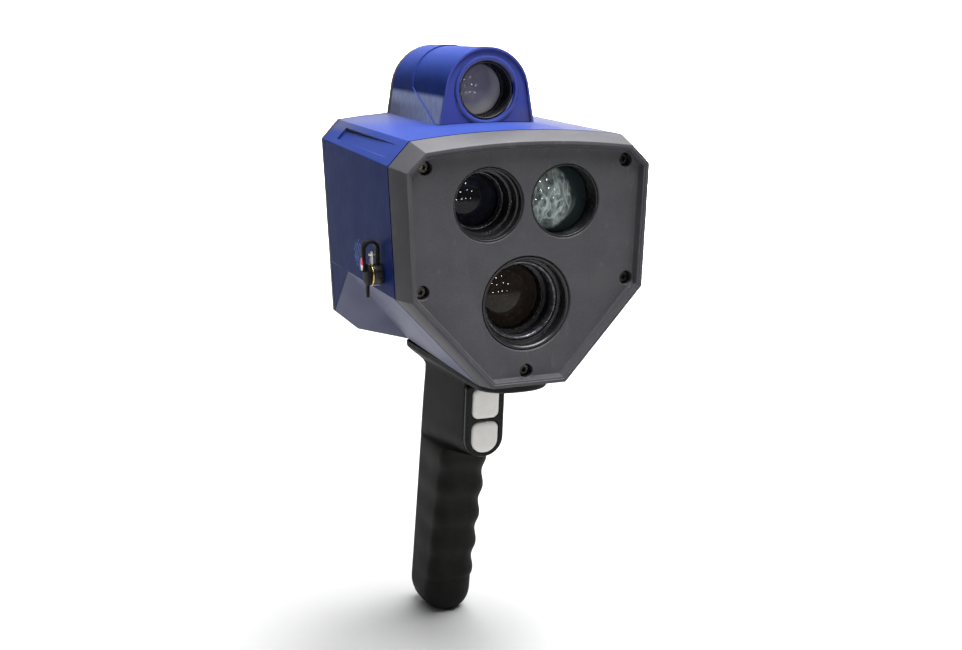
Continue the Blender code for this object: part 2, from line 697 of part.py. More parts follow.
def build_receiver(shop):
    """The laser receiver: barrel, large front lens, retaining ring and detector board."""
    x, z = RECEIVER_AXIS
    place = (x, 0.0, z)
    barrel = (
        (20.7, 6.0), (20.7, 44.0), (16.0, 52.0), (16.0, 80.0), (9.0, 80.0),
        (9.0, 66.0), (14.0, 50.0), (18.4, 40.0), (18.4, 21.0), (19.7, 21.0), (19.7, 6.0),
    )
    turned(shop, "receiver_barrel", barrel, place, "black_anodised", steps=20)
    lens = lens_profile(19.4, 13.0, 7.5, 3.4, 1.4)
    turned(shop, "receiver_lens", lens, place, "clear_glass", closed=False)
    ring = ((18.1, 21.4), (18.1, 24.6), (16.4, 24.6), (16.4, 21.4))
    turned(shop, "receiver_ring", ring, place, "black_anodised", steps=20)
    low, high = (x - 15.0, 80.5, z - 15.0), (x + 15.0, 82.1, z + 15.0)
    board = shop.add("detector_board", box_mesh("detector_board", low, high), "circuit_green")
    low, high = (x - 4.0, 82.0, z - 4.0), (x + 4.0, 87.0, z + 4.0)
    cut(shop, board, box_mesh("detector_can", low, high), "UNION")


def build_camera(shop):
    """The camera: front bell, long barrel, two elements, retaining ring and sensor board."""
    x, z = CAMERA_AXIS
    place = (x, 0.0, z)
    bell = (
        (27.0, 6.0), (27.0, 27.0), (21.5, 27.0), (21.5, 20.0), (23.2, 20.0), (23.2, 14.0),
        (25.0, 14.0), (25.0, 6.0),
    )
    turned(shop, "camera_bell", bell, place, "black_anodised", steps=20)
    barrel = (
        (27.0, 27.3), (27.0, 46.0), (24.4, 46.0), (24.4, 86.0), (12.0, 86.0), (12.0, 62.0),
        (16.0, 62.0), (16.0, 48.0), (19.5, 48.0), (19.5, 27.3),
    )
    turned(shop, "camera_barrel", barrel, place, "black_anodised", steps=20)
    front_lens = lens_profile(19.2, 28.0, 9.0, 4.0, 1.0)
    turned(shop, "camera_front_lens", front_lens, place, "coated_glass", closed=False)
    rear_lens = lens_profile(11.6, 66.0, 6.0, 1.5, 2.0)
    turned(shop, "camera_rear_lens", rear_lens, place, "clear_glass", closed=False)
    ring = ((22.8, 14.6), (22.8, 18.8), (20.6, 18.8), (20.6, 14.6))
    turned(shop, "camera_ring", ring, place, "black_anodised", steps=20)
    low, high = (x - 20.0, 87.0, z - 20.0), (x + 20.0, 88.6, z + 20.0)
    board = shop.add("camera_sensor_board", box_mesh("camera_sensor_board", low, high), "circuit_green")
    low, high = (x - 12.0, 88.5, z - 10.0), (x + 12.0, 94.0, z + 10.0)
    cut(shop, board, box_mesh("sensor_heatsink", low, high), "UNION")


def build_optics_bench(shop):
    """The aluminium plate that holds the three barrels in line."""
    rear = BENCH_FRONT + BENCH_THICKNESS
    outline = body_outline(BENCH_FRONT, HOUSING_WALL + 0.8)
    plate = slab_mesh("optics_bench", [(y, outline) for y in (BENCH_FRONT, rear)])
    bench = shop.add("optics_bench", plate, "aluminium")
    holes = ((EMITTER_AXIS, 16.3), (RECEIVER_AXIS, 16.3), (CAMERA_AXIS, 24.7))
    for i, ((x, z), radius) in enumerate(holes, 1):
        start = (x, BENCH_FRONT - 1.0, z)
        length = BENCH_THICKNESS + 2.0
        cut(shop, bench, cylinder_mesh(f"bench_hole_{i}", start, radius, length, segments=32))


def build_sight(shop):
    """The aiming sight in the turret: tube, two lenses and a rubber eyecup."""
    place = (0.0, 0.0, SIGHT_Z)
    tube = (
        (16.8, 66.0), (16.8, 118.0), (12.8, 124.0), (12.8, 157.5), (11.2, 157.5),
        (11.2, 124.0), (14.0, 116.0), (14.0, 86.0), (15.6, 86.0), (15.6, 66.0),
    )
    turned(shop, "sight_tube", tube, place, "black_anodised", steps=20)
    objective = lens_profile(15.3, 78.0, 6.0, 2.4, 1.0)
    turned(shop, "sight_objective", objective, place, "clear_glass", closed=False)
    eye_lens = lens_profile(10.9, 150.0, 4.0, 1.0, 1.2)
    turned(shop, "sight_eye_lens", eye_lens, place, "clear_glass", closed=False)
    cup = (
        (11.6, 166.5), (14.6, 166.5), (15.6, 164.0), (15.6, 156.0), (13.1, 156.0), (13.1, 159.0),
        (11.6, 159.0),
    )
    turned(shop, "eyecup", tuple(reversed(cup)), place, "rubber", steps=28)


# ---------------------------------------------------------------- electronics


def build_main_board(shop):
    low, high = (-46.0, 128.0, 30.0), (46.0, 129.6, 122.0)
    board = shop.add("main_board", box_mesh("main_board", low, high), "circuit_green")
    blocks = (
        ((-12.0, 124.0, 70.0), (14.0, 128.2, 96.0)),
        ((22.0, 120.0, 40.0), (40.0, 128.2, 52.0)),
        ((-40.0, 121.0, 36.0), (-24.0, 128.2, 60.0)),
        ((-38.0, 125.0, 100.0), (-18.0, 128.2, 114.0)),
    )
    for i, (low, high) in enumerate(blocks, 1):
        cut(shop, board, box_mesh(f"board_block_{i}", low, high), "UNION")


def build_speaker(shop):
    """A small round speaker behind the left side wall."""
    profile = (
        (0.0, 1.2), (8.6, 1.2), (8.6, 3.0), (10.0, 3.0), (10.0, 5.0), (6.0, 5.0), (6.0, 9.0), (0.0, 9.0),
    )
    place = (-70.8, 86.0, 66.5)
    turned(shop, "speaker", profile, place, "black_plastic", axis="left", steps=20, closed=False)


# ---------------------------------------------------------------- grip


def grip_rear_y(z):
    return 139.2 + GRIP_LEAN_REAR * (-43.2 - z)


def grip_front_y(z):
    """The finger side: ridges on a leaning line, with a hollow between each pair."""
    line = FIRST_RIDGE_Y + GRIP_LEAN_FRONT * (FIRST_RIDGE_Z - z)
    phase = (FIRST_RIDGE_Z - z) / RIDGE_PITCH
    return line + SCALLOP_DEPTH * math.sin(math.pi * phase) ** 2


def pod_face_y(z):
    return POD_ORIGIN[1] + math.tan(POD_LEAN) * (POD_ORIGIN[2] - z)


def grip_sections():
    """Sections from the flange under the body down to the rounded end."""
    wide = GRIP_HALF_WIDTH
    sections = [
        (-2.6, 21.5, 22.5, 8.0, 149.5, 19.0, 6.0),
        (-4.6, 21.5, 22.5, 12.0, 149.5, 19.0, 6.0),
        (-7.6, 19.8, 21.0, 19.0, 147.0, 17.0, 7.0),
        (-9.8, 16.8, 18.5, 32.0, 141.5, 13.0, 9.0),
        (-12.0, 13.4, wide, 62.0, 136.5, 5.0, 10.0),
    ]
    seat = POD_THICKNESS + GAP
    for z in (-14.6, -34.0, -50.0):
        sections.append((z, POD_HALF_WIDTH, wide, pod_face_y(z) + seat, grip_rear_y(z), 2.5, 11.0))
    for z, half in ((-55.5, 11.6), (-59.5, 8.4), (-62.3, 4.0)):
        sections.append((z, half, wide, pod_face_y(z) + seat, grip_rear_y(z), 2.0, 11.0))
    sections.append((-64.8, 14.0, wide, 92.0, grip_rear_y(-64.8), 9.0, 11.5))
    shelf_z = -68.0
    step = RIDGE_PITCH / 4.0
    levels = [FIRST_RIDGE_Z + step * i for i in range(4, -16, -1)]
    for z in [level for level in levels if -167.0 < level < shelf_z]:
        sections.append((z, wide - 0.8, wide, grip_front_y(z), grip_rear_y(z), 9.5, 11.5))
    end_rows = (
        (-173.0, 0.99, 0.0),
        (-179.0, 0.93, 2.6),
        (-183.6, 0.79, 7.4),
        (-186.7, 0.52, 14.5),
        (GRIP_BOTTOM_Z, 0.2, 20.0),
    )
    for z, share, pull in end_rows:
        front = FIRST_RIDGE_Y + GRIP_LEAN_FRONT * (FIRST_RIDGE_Z + 173.0) + pull * 0.36
        rear = grip_rear_y(-173.0) - pull
        half = wide * share
        radius = min(11.5, half * 0.8, (rear - front) * 0.4)
        sections.append((z, half * 0.97, half, front, rear, radius, radius))
    return sections


def build_grip(shop):
    """One black moulding: mounting flange, button block and leaning handle."""
    rings = [grip_section(*row) for row in grip_sections()]
    grip = shop.add("grip_body", loft_mesh("grip_body", rings), "soft_touch_black")
    cavity_rows = (
        (0.0, 10.5, 10.5, 84.0, 128.0, 4.0, 4.0),
        (-60.0, 10.5, 10.5, 101.0, 137.5, 4.0, 4.0),
        (-166.0, 10.5, 10.5, 130.0, 157.0, 4.0, 4.0),
    )
    rings = [grip_section(*row, steps=2) for row in cavity_rows]
    cut(shop, grip, loft_mesh("battery_cavity", rings))
    pocket = rounded_outline(10.6, -23.0, 22.6, 10.3, 3.0)
    levels = [(y, pocket) for y in (POD_THICKNESS - 1.0, 14.0)]
    cut(shop, grip, slab_mesh("button_pocket", levels), parent=shop.pod)
    wire = cylinder_mesh("button_wire_way", (0.0, 10.0, 8.0), 3.0, 24.0, segments=12)
    cut(shop, grip, wire, parent=shop.pod)
    for i, (x, y) in enumerate(GRIP_SCREWS, 1):
        hole = cylinder_mesh(f"flange_hole_{i}", (x, y, 0.0), 1.9, 7.5, axis="up", segments=12)
        cut(shop, grip, hole)


def build_grip_screws(shop):
    points = screw_profile(2.9, 1.8, 1.5, 7.6, 1.2, 1.1)
    mesh = profile_mesh("grip_screw", points, closed=False)
    for i, (x, y) in enumerate(GRIP_SCREWS, 1):
        turned(shop, f"grip_screw_{i}", None, (x, y, 2.4), "steel", axis="up", steps=12, mesh=mesh)


def build_battery(shop):
    """A stick battery pack that lies along the leaning grip."""
    rows = (
        (-12.0, 9.8, 9.8, 90.0, 127.5, 3.0, 3.0),
        (-60.0, 9.8, 9.8, 103.0, 135.5, 3.0, 3.0),
        (-160.0, 9.8, 9.8, 131.0, 154.5, 3.0, 3.0),
    )
    rings = [grip_section(*row, steps=2) for row in rows]
    shop.add("battery_pack", loft_mesh("battery_pack", rings), "battery_blue")


def button_outline(upper, inset=0.0):
    half = BUTTON_WIDTH / 2.0
    if upper:
        outline = rounded_outline(half, 1.2, 21.0, 4.2, 4.2)
    else:
        outline = rounded_outline(half, -21.4, -1.2, 8.4, 4.6)
    return inset_outline(outline, inset)


def build_button_pod(shop):
    """The front plate with two openings, the two buttons and their switch board."""
    plate = rounded_outline(POD_HALF_WIDTH, POD_BOTTOM, POD_TOP, 12.4, 2.0, steps=6)
    levels = [(0.0, inset_outline(plate, 0.8)), (0.8, plate), (POD_THICKNESS, plate)]
    plate = slab_mesh("button_bezel", levels)
    bezel = shop.add("button_bezel", plate, "black_plastic", parent=shop.pod)
    for upper, name in ((True, "upper"), (False, "lower")):
        opening = button_outline(upper, -GAP)
        levels = [(y, opening) for y in (-1.0, POD_THICKNESS + 1.0)]
        cut(shop, bezel, slab_mesh(f"{name}_opening", levels), parent=shop.pod)
        button_levels = [
            (-1.3, button_outline(upper, 1.6)),
            (-0.7, button_outline(upper, 0.4)),
            (0.2, button_outline(upper)),
            (3.3, button_outline(upper)),
            (3.3, button_outline(upper, -1.2)),
            (4.8, button_outline(upper, -1.2)),
            (4.8, button_outline(upper, 4.0)),
            (6.4, button_outline(upper, 4.0)),
        ]
        mesh = slab_mesh(f"{name}_button", button_levels)
        shop.add(f"{name}_button", mesh, "button_white", parent=shop.pod)
    board = box_mesh("button_board", (-9.6, 10.4, -15.0), (9.6, 12.0, 20.0))
    board = shop.add("button_board", board, "circuit_green", parent=shop.pod)
    for i, z in enumerate((11.0, -11.0), 1):
        switch = box_mesh(f"tact_switch_{i}", (-3.0, 8.5, z - 3.0), (3.0, 10.6, z + 3.0))
        cut(shop, board, switch, "UNION", parent=shop.pod)


# ---------------------------------------------------------------- data socket


def build_socket(shop):
    """A round panel socket: body, brass ring and the nut inside the wall."""
    place = (SOCKET_WALL_X, SOCKET_Y, SOCKET_Z)
    body = (
        (3.6, -6.6), (4.6, -6.6), (4.6, -5.2), (SOCKET_RADIUS, -5.2), (SOCKET_RADIUS, 0.0),
        (5.0, 0.0), (5.0, 12.0), (3.6, 12.0),
    )
    turned(shop, "socket_body", body, place, "black_anodised", axis="left")
    ring = ((4.9, -6.4), (6.35, -6.4), (6.35, -5.5), (4.9, -5.5))
    turned(shop, "socket_ring", ring, place, "brass", axis="left")
    nut = ((6.1, 4.0), (8.6, 4.0), (8.6, 7.0), (6.1, 7.0))
    turned(shop, "socket_nut", nut, place, "steel", axis="left", steps=6)
    cap = (
        (0.0, -9.0), (5.7, -9.0), (6.3, -8.5), (6.3, -6.9), (3.2, -6.9), (3.2, -1.0), (0.0, -1.0),
    )
    cap = turned(shop, "dust_cap", cap, place, "rubber", axis="left", closed=False)
    low, high = (-8.6, -1.6, -13.0), (-7.1, 1.6, -5.6)
    tab = shop.add("cap_tab", box_mesh("cap_tab", low, high), place=place)
    boolean(cap, tab, "UNION")


def build_tether(shop):
    """The cap's rubber strap: a loop from the socket's top over to the cap's outer face."""
    inner_x, outer_x, foot_z, peak_z = -76.7, -85.3, 69.3, 77.6
    middle = (inner_x + outer_x) / 2.0
    half = (inner_x - outer_x) / 2.0
    route = [(inner_x, foot_z)]
    for i in range(9):
        angle = math.pi * i / 8.0
        route.append((middle + half * math.cos(angle), peak_z + half * 0.9 * math.sin(angle)))
    route.append((outer_x, 65.0))
    curve = bpy.data.curves.new("cap_tether", "CURVE")
    curve.dimensions = "3D"
    curve.bevel_depth = 1.35 * MM
    curve.bevel_resolution = 2
    curve.use_fill_caps = True
    spline = curve.splines.new("POLY")
    spline.points.add(len(route) - 1)
    for point, (x, z) in zip(spline.points, route):
        point.co = (x * MM, SOCKET_Y * MM, z * MM, 1.0)
    strap = bpy.data.objects.new("cap_tether", curve)
    strap.parent = shop.device
    curve.materials.append(shop.materials["rubber"])
    shop.parts.objects.link(strap)


def smooth_round_pieces(shop):
    """Smooth shading with sharp creases on every piece that has faces of its own."""
    for obj in shop.parts.objects:
        if obj.type == "MESH" and obj.data.polygons:
            obj.data.shade_smooth()
            obj.data.set_sharp_from_angle(angle=math.radians(35.0))


def main():
    for obj in list(bpy.data.objects):
        bpy.data.objects.remove(obj)
    shop = Workshop()
    build_front_cover(shop)
    build_front_gasket(shop)
    build_cover_screws(shop)
    build_main_housing(shop)
    build_sight_hood(shop)
    build_rear_cover(shop)
    build_rear_gasket(shop)
    build_rear_screws(shop)
    build_display(shop)
    build_keys(shop)
    build_emitter(shop)
    build_receiver(shop)
    build_camera(shop)
    build_optics_bench(shop)
    build_sight(shop)
    build_main_board(shop)
    build_speaker(shop)
    build_grip(shop)
    build_grip_screws(shop)
    build_battery(shop)
    build_button_pod(shop)
    build_socket(shop)
    build_tether(shop)
    smooth_round_pieces(shop)


main()
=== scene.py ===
"""Looks for the handheld scanner: finer shells, turned optics, moulded rubber and finishes.

Lengths are millimetres in the device frame, whose Y runs back from the front rim and whose
Z rises from the rim's lower edge. Each piece is moved into the CAD's row frame when it is made.
"""

import json
import random
from math import acos, atan2, cos, hypot, pi, radians, sin, sqrt, tan

import bmesh
import bpy
from mathutils import Matrix, Vector

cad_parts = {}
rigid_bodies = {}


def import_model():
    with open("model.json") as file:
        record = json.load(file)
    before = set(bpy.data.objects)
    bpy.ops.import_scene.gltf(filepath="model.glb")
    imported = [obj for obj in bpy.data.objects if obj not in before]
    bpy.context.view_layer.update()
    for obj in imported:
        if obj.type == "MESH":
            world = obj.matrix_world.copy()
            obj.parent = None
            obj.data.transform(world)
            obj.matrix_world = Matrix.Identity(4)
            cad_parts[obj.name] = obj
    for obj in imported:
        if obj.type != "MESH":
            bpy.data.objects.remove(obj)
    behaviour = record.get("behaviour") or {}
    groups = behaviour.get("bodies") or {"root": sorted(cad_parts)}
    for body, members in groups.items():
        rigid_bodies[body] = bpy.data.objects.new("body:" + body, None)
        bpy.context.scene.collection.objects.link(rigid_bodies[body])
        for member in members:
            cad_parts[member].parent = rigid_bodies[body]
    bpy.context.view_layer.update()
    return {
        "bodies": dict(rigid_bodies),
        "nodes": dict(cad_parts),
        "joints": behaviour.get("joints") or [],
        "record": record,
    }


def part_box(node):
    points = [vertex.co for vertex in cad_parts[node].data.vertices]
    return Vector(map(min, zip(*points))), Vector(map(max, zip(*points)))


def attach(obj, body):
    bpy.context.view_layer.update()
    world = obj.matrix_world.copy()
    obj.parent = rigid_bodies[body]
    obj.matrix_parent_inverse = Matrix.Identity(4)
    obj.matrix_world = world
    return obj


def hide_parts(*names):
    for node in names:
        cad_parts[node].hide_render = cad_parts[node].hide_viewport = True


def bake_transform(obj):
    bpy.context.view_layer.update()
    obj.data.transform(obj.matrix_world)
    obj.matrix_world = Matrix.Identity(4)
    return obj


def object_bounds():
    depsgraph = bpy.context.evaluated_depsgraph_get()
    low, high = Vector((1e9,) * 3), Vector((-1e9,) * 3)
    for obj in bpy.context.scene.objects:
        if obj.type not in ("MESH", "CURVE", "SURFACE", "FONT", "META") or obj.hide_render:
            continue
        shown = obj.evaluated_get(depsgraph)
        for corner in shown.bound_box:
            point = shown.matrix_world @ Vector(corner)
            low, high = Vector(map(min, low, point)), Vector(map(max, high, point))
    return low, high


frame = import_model()

MM = 0.001
ROOT = "scanner"
CUT, JOIN, KEEP = "DIFFERENCE", "UNION", "INTERSECT"

# The flared cover's back edge hangs this far below the rim's lower edge.
FLARE_DROP = 2.3
COVER_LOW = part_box("front_cover")[0]
ORIGIN = Vector((0.0, COVER_LOW.y, COVER_LOW.z + FLARE_DROP * MM))
TO_ROW = Matrix.Translation(ORIGIN) @ Matrix.Scale(MM, 4)

# Front cover, as (x, z) half outlines from the top corner to the bottom corner.
RIM_OUTLINE = ((62.8, 135.1), (74.0, 124.3), (70.9, 53.0), (22.7, 0.0))
COVER_BACK_OUTLINE = ((65.2, 139.8), (78.0, 126.3), (74.2, 52.0), (23.9, -FLARE_DROP))
TOP_CROWN = 4.2
COVER_DEPTH = 18.4
RIM_WIDTH = 3.2
RIM_LEDGE = 1.9
LEDGE_DEPTH = 0.55
POCKET_DEPTH = 5.2
POCKET_DRAFT = 0.9
PANEL_THICKNESS = 3.2
COVER_WALL = 3.2
COVER_SCREWS = ((-61.2, 126.4), (61.2, 126.4), (-63.1, 57.5), (63.1, 57.5), (0.0, 7.5))
COUNTERBORE_RADIUS = 4.0
COUNTERBORE_DEPTH = 7.0
BOSS_RADIUS = 5.6
SCREW_HOLE = 2.3
CAP_HEIGHT = 3.2
HEX_ACROSS = 3.0

# Optics, as (x, z) axes and radii of the holes in the front panel.
EMITTER_AXIS = (-23.4, 104.4)
RECEIVER_AXIS = (23.4, 104.4)
CAMERA_AXIS = (0.0, 46.9)
SMALL_APERTURE = 21.05
CAMERA_APERTURE = 27.4

# Housing.
HOUSING_FRONT = 19.6
HOUSING_REAR = 150.4
BODY_DEPTH = 155.3
HOUSING_WALL = 2.6
REAR_TOP = ((63.7, 141.7), (74.5, 130.0))
REAR_LOW = ((68.95, 19.6), (53.55, 6.6), (20.2, -2.3))
SIDE_CREASE_END = (71.75, 112.5, 52.0)
BOTTOM_CREASE_END = (20.5, 148.0, -2.3)
THUMB_RECESS_DEPTH = 2.0
SPEAKER_CENTRE = (86.0, 66.5)
SPEAKER_WALL = 73.17
SPEAKER_SLOPE = (-0.026, 0.05)
SPEAKER_RADIUS = 9.0
SPEAKER_COLUMN = 1.75
SPEAKER_ROW = 4.2
SPEAKER_HOLE = 0.45
SPEAKER_MOUTH = 1.4

# Sight.
HOOD_ARCH = ((26.7, 161.9, 31.1), (27.3, 159.4, 30.9))
TURRET_ARCH = ((27.6, 162.2, 32.2), (28.1, 159.2, 31.8))
HOOD_BASE_Z = 138.0
HOOD_FRONT = 63.4
HOOD_WALL = 2.6
HOOD_LIP = 1.3
HOOD_FACE_RECESS = 1.4
TURRET_FLOOR_Z = 146.15
HOOD_SPLIT = ((127.0, 196.0), (115.5, 162.8), (69.5, 143.6), (60.0, 139.5))
SPLIT_GAP = 0.3
SIGHT_Z = 163.3
SIGHT_APERTURE = 17.2

# Grip and button pod.
GRIP_LEAN_REAR = 0.1885
GRIP_LEAN_FRONT = 0.278
GRIP_HALF_WIDTH = 17.0
FIRST_RIDGE_Z = -94.3
FIRST_RIDGE_Y = 99.8
RIDGE_PITCH = 21.4
SCALLOP_DEPTH = 2.3
GRIP_BOTTOM_Z = -188.2
POD_ORIGIN = (0.0, 65.4, -38.0)
POD_LEAN = radians(5.0)
POD_HALF_WIDTH = 12.75
POD_TOP = 22.8
POD_BOTTOM = -24.6
POD_THICKNESS = 3.0
POD_ROLL = 1.5
BUTTON_WIDTH = 17.4
BUTTON_GAP = 0.3
POD = Matrix.Translation(Vector(POD_ORIGIN)) @ Matrix.Rotation(POD_LEAN, 4, "X")

# Data socket on the left side wall.
SOCKET = (-74.75, 42.2, 62.7)
SOCKET_RADIUS = 6.25

# Studio, in metres in the row frame.
FLOOR_COLOUR = (0.37, 0.37, 0.37)
LAMP_Y = -1.45
CAMERA_PLACE = (-0.3418, -0.8758, 0.3415)
CAMERA_AZIMUTH = radians(22.72)
CAMERA_ELEVATION = radians(12.48)
CAMERA_ROLL = radians(0.17)
CAMERA_LENS = 55.37


# ---------------------------------------------------------------- outlines


def closed_outline(corners, crown, arch_points=17):
    """A symmetric outline, anticlockwise from the front, with a crowned top edge."""
    top_x, top_z = corners[0]
    points = []
    for i in range(arch_points):
        x = top_x * (1.0 - 2.0 * i / (arch_points - 1))
        points.append((x, top_z + crown * (1.0 - (x / top_x) ** 2)))
    return points + [(-x, z) for x, z in corners[1:]] + [(x, z) for x, z in reversed(corners[1:])]


def inset_outline(points, distance):
    """Moves each edge of an anticlockwise convex outline inwards, or outwards if negative."""
    count = len(points)
    moved = []
    for i in range(count):
        before, here, after = (Vector(points[(i + k) % count]) for k in (-1, 0, 1))
        first = (here - before).normalized()
        second = (after - here).normalized()
        first_normal = Vector((-first.y, first.x))
        bisector = first_normal + Vector((-second.y, second.x))
        bisector /= bisector.dot(first_normal)
        moved.append(tuple(here + bisector * distance))
    return moved


def soften(points, radius, limit=12.0, steps=4):
    """Rounds the corners of an outline or profile that turn by more than the limit."""
    count = len(points)
    rounded = []
    for i, point in enumerate(points):
        here = Vector(point)
        before, after = (Vector(points[(i + k) % count]) for k in (-1, 1))
        back, ahead = before - here, after - here
        turn = pi - back.angle(ahead)
        if turn < radians(limit):
            rounded.append(tuple(here))
            continue
        reach = min(radius * tan(turn / 2.0), back.length * 0.45, ahead.length * 0.45)
        start = here + back.normalized() * reach
        end = here + ahead.normalized() * reach
        for k in range(steps + 1):
            t = k / steps
            rounded.append(tuple(start * (1 - t) ** 2 + here * (2 * t * (1 - t)) + end * t * t))
    return rounded


def blend_corners(first, second, t):
    """Corners a share t of the way from the first ones to the second."""
    return [(x0 + (x1 - x0) * t, z0 + (z1 - z0) * t) for (x0, z0), (x1, z1) in zip(first, second)]


def cover_outline(y, inset=0.0, radius=1.0):
    corners = blend_corners(RIM_OUTLINE, COVER_BACK_OUTLINE, y / COVER_DEPTH)
    return soften(inset_outline(closed_outline(corners, TOP_CROWN), inset), radius)


def body_outline(y, inset=0.0, radius=0.9):
    t = (y - COVER_DEPTH) / (BODY_DEPTH - COVER_DEPTH)
    side = COVER_BACK_OUTLINE[2]
    drift = (SIDE_CREASE_END[0] - side[0]) / (SIDE_CREASE_END[1] - COVER_DEPTH)
    rear_side = (side[0] + drift * (BODY_DEPTH - COVER_DEPTH), side[1])
    corners = blend_corners(COVER_BACK_OUTLINE, (*REAR_TOP, rear_side, REAR_LOW[2]), t)
    return soften(inset_outline(closed_outline(corners, TOP_CROWN), inset), radius)


def rear_outline(inset=0.0):
    return inset_outline(closed_outline((*REAR_TOP, *REAR_LOW), TOP_CROWN), inset)


def arch_outline(radius, centre_z, half_width, base_z, arc_points=57):
    """A round arch whose sides run down as tangents to the base corners, anticlockwise."""
    down = base_z - centre_z
    start = atan2(down, half_width) + acos(radius / hypot(half_width, down))
    points = [(half_width, base_z)]
    for i in range(arc_points):
        angle = start + (pi - 2.0 * start) * i / (arc_points - 1)
        points.append((radius * cos(angle), centre_z + radius * sin(angle)))
    points.append((-half_width, base_z))
    return points


def tapered_arch(ends, y, inset, base_z):
    t = (y - HOOD_FRONT) / (BODY_DEPTH - HOOD_FRONT)
    radius, centre_z, half_width = (a + (b - a) * t for a, b in zip(*ends))
    return arch_outline(radius - inset, centre_z, half_width - inset, base_z)


def quarter_turns(corners, steps):
    """Four quarter circles, each from its centre (x, y), radius and start angle in degrees."""
    points = []
    for x, y, radius, start in corners:
        for i in range(steps + 1):
            angle = radians(start + 90.0 * i / steps)
            points.append((x + radius * cos(angle), y + radius * sin(angle)))
    return points


def rounded_outline(half_width, low, high, low_radius, high_radius, steps=10):
    """A rectangle with round corners, in X and Z, anticlockwise from its lower right."""
    corners = (
        (half_width - low_radius, low + low_radius, low_radius, -90.0),
        (half_width - high_radius, high - high_radius, high_radius, 0.0),
        (-half_width + high_radius, high - high_radius, high_radius, 90.0),
        (-half_width + low_radius, low + low_radius, low_radius, 180.0),
    )
    return quarter_turns(corners, steps)


# ---------------------------------------------------------------- meshes


def add_loft(bm, rings):
    """Adds a closed solid through rings with equal numbers of points."""
    rows = [[bm.verts.new(point) for point in ring] for ring in rings]
    count = len(rows[0])
    for lower, upper in zip(rows, rows[1:]):
        for i in range(count):
            j = (i + 1) % count
            bm.faces.new((lower[i], lower[j], upper[j], upper[i]))
    bm.faces.new(reversed(rows[0]))
    bm.faces.new(rows[-1])


def round_levels(front, rear, outline_at, radius, steps=3):
    """Slab levels whose front and rear edges are rounded. outline_at takes (y, inset)."""
    angles = [pi / 2.0 * i / steps for i in range(steps + 1)]
    places = [(front + radius * (1.0 - cos(angle)), angle) for angle in angles]
    places += [(rear - radius * (1.0 - cos(angle)), angle) for angle in reversed(angles)]
    return [(y, outline_at(y, radius * (1.0 - sin(angle)))) for y, angle in places]


TURNS = {
    "front": lambda r, d, c, s: (r * c, d, r * s),
    "rear": lambda r, d, c, s: (r * c, -d, r * s),
    "left": lambda r, d, c, s: (d, r * c, r * s),
    "up": lambda r, d, c, s: (r * c, r * s, -d),
}


def add_turned(bm, profile, place, turn="front", segments=96):
    """Adds a turned solid. The (radius, depth) profile is a ring, or a line from axis to axis."""
    place = Vector(place)
    point_at = TURNS[turn]
    rings = []
    for radius, depth in profile:
        if radius < 1e-6:
            rings.append([bm.verts.new(place + Vector(point_at(0.0, depth, 1.0, 0.0)))])
            continue
        ring = []
        for i in range(segments):
            angle = 2.0 * pi * i / segments
            point = point_at(radius, depth, cos(angle), sin(angle))
            ring.append(bm.verts.new(place + Vector(point)))
        rings.append(ring)
    pairs = list(zip(rings, rings[1:]))
    if profile[0][0] > 0.0:
        pairs.append((rings[-1], rings[0]))
    for first, second in pairs:
        for i in range(segments):
            j = (i + 1) % segments
            corners = [ring[k % len(ring)] for ring, k in ((first, i), (first, j), (second, j), (second, i))]
            unique = list(dict.fromkeys(corners))
            if len(unique) > 2:
                bm.faces.new(unique)


def add_object(name, data):
    obj = bpy.data.objects.new(name, data)
    bpy.context.scene.collection.objects.link(obj)
    return obj


def make(name, bm, place=Matrix(), to_row=TO_ROW):
    """Turns a bmesh in device millimetres into an object in the row frame."""
    bm.transform(place)
    bm.transform(to_row)
    bmesh.ops.recalc_face_normals(bm, faces=bm.faces)
    mesh = bpy.data.meshes.new(name)
    bm.to_mesh(mesh)
    bm.free()
    return add_object(name, mesh)


def loft_object(name, rings, place=Matrix()):
    bm = bmesh.new()
    add_loft(bm, rings)
    return make(name, bm, place)


def slab_object(name, levels, place=Matrix()):
    """A loft along Y through (y, outline) levels."""
    return loft_object(name, [[(x, y, z) for x, z in outline] for y, outline in levels], place)


def turned_object(name, profile, place, turn="front", segments=96, frame=Matrix()):
    bm = bmesh.new()
    add_turned(bm, profile, place, turn, segments)
    return make(name, bm, frame)


def box_object(name, low, high):
    low, high = Vector(low), Vector(high)
    bm = bmesh.new()
    bmesh.ops.create_cube(bm, size=1.0, matrix=Matrix.Diagonal((*(high - low), 1.0)))
    bmesh.ops.translate(bm, verts=bm.verts, vec=(low + high) / 2.0)
    return make(name, bm)


def apply_modifiers(obj):
    graph = bpy.context.evaluated_depsgraph_get()
    mesh = bpy.data.meshes.new_from_object(obj.evaluated_get(graph))
    old = obj.data
    obj.modifiers.clear()
    obj.data = mesh
    bpy.data.meshes.remove(old)


def combine(obj, *steps):
    """Applies (CUT, JOIN or KEEP, tool) Booleans in order and removes the tools."""
    for operation, tool in steps:
        modifier = obj.modifiers.new(tool.name, "BOOLEAN")
        modifier.operation = operation
        modifier.object = tool
        modifier.solver = "EXACT"
    apply_modifiers(obj)
    for _, tool in steps:
        bpy.data.objects.remove(tool)
    return obj


def shade(obj, finish, sharp):
    obj.data.shade_smooth()
    obj.data.set_sharp_from_angle(angle=radians(sharp))
    obj.data.materials.clear()
    obj.data.materials.append(FINISHES[finish])


def settle(obj, finish, nodes, body=ROOT, sharp=32.0):
    """Gives a finished piece its shading, finish and body, and hides the CAD nodes it stands for."""
    shade(obj, finish, sharp)
    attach(obj, body)
    if nodes:
        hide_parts(*nodes)


# ---------------------------------------------------------------- finishes


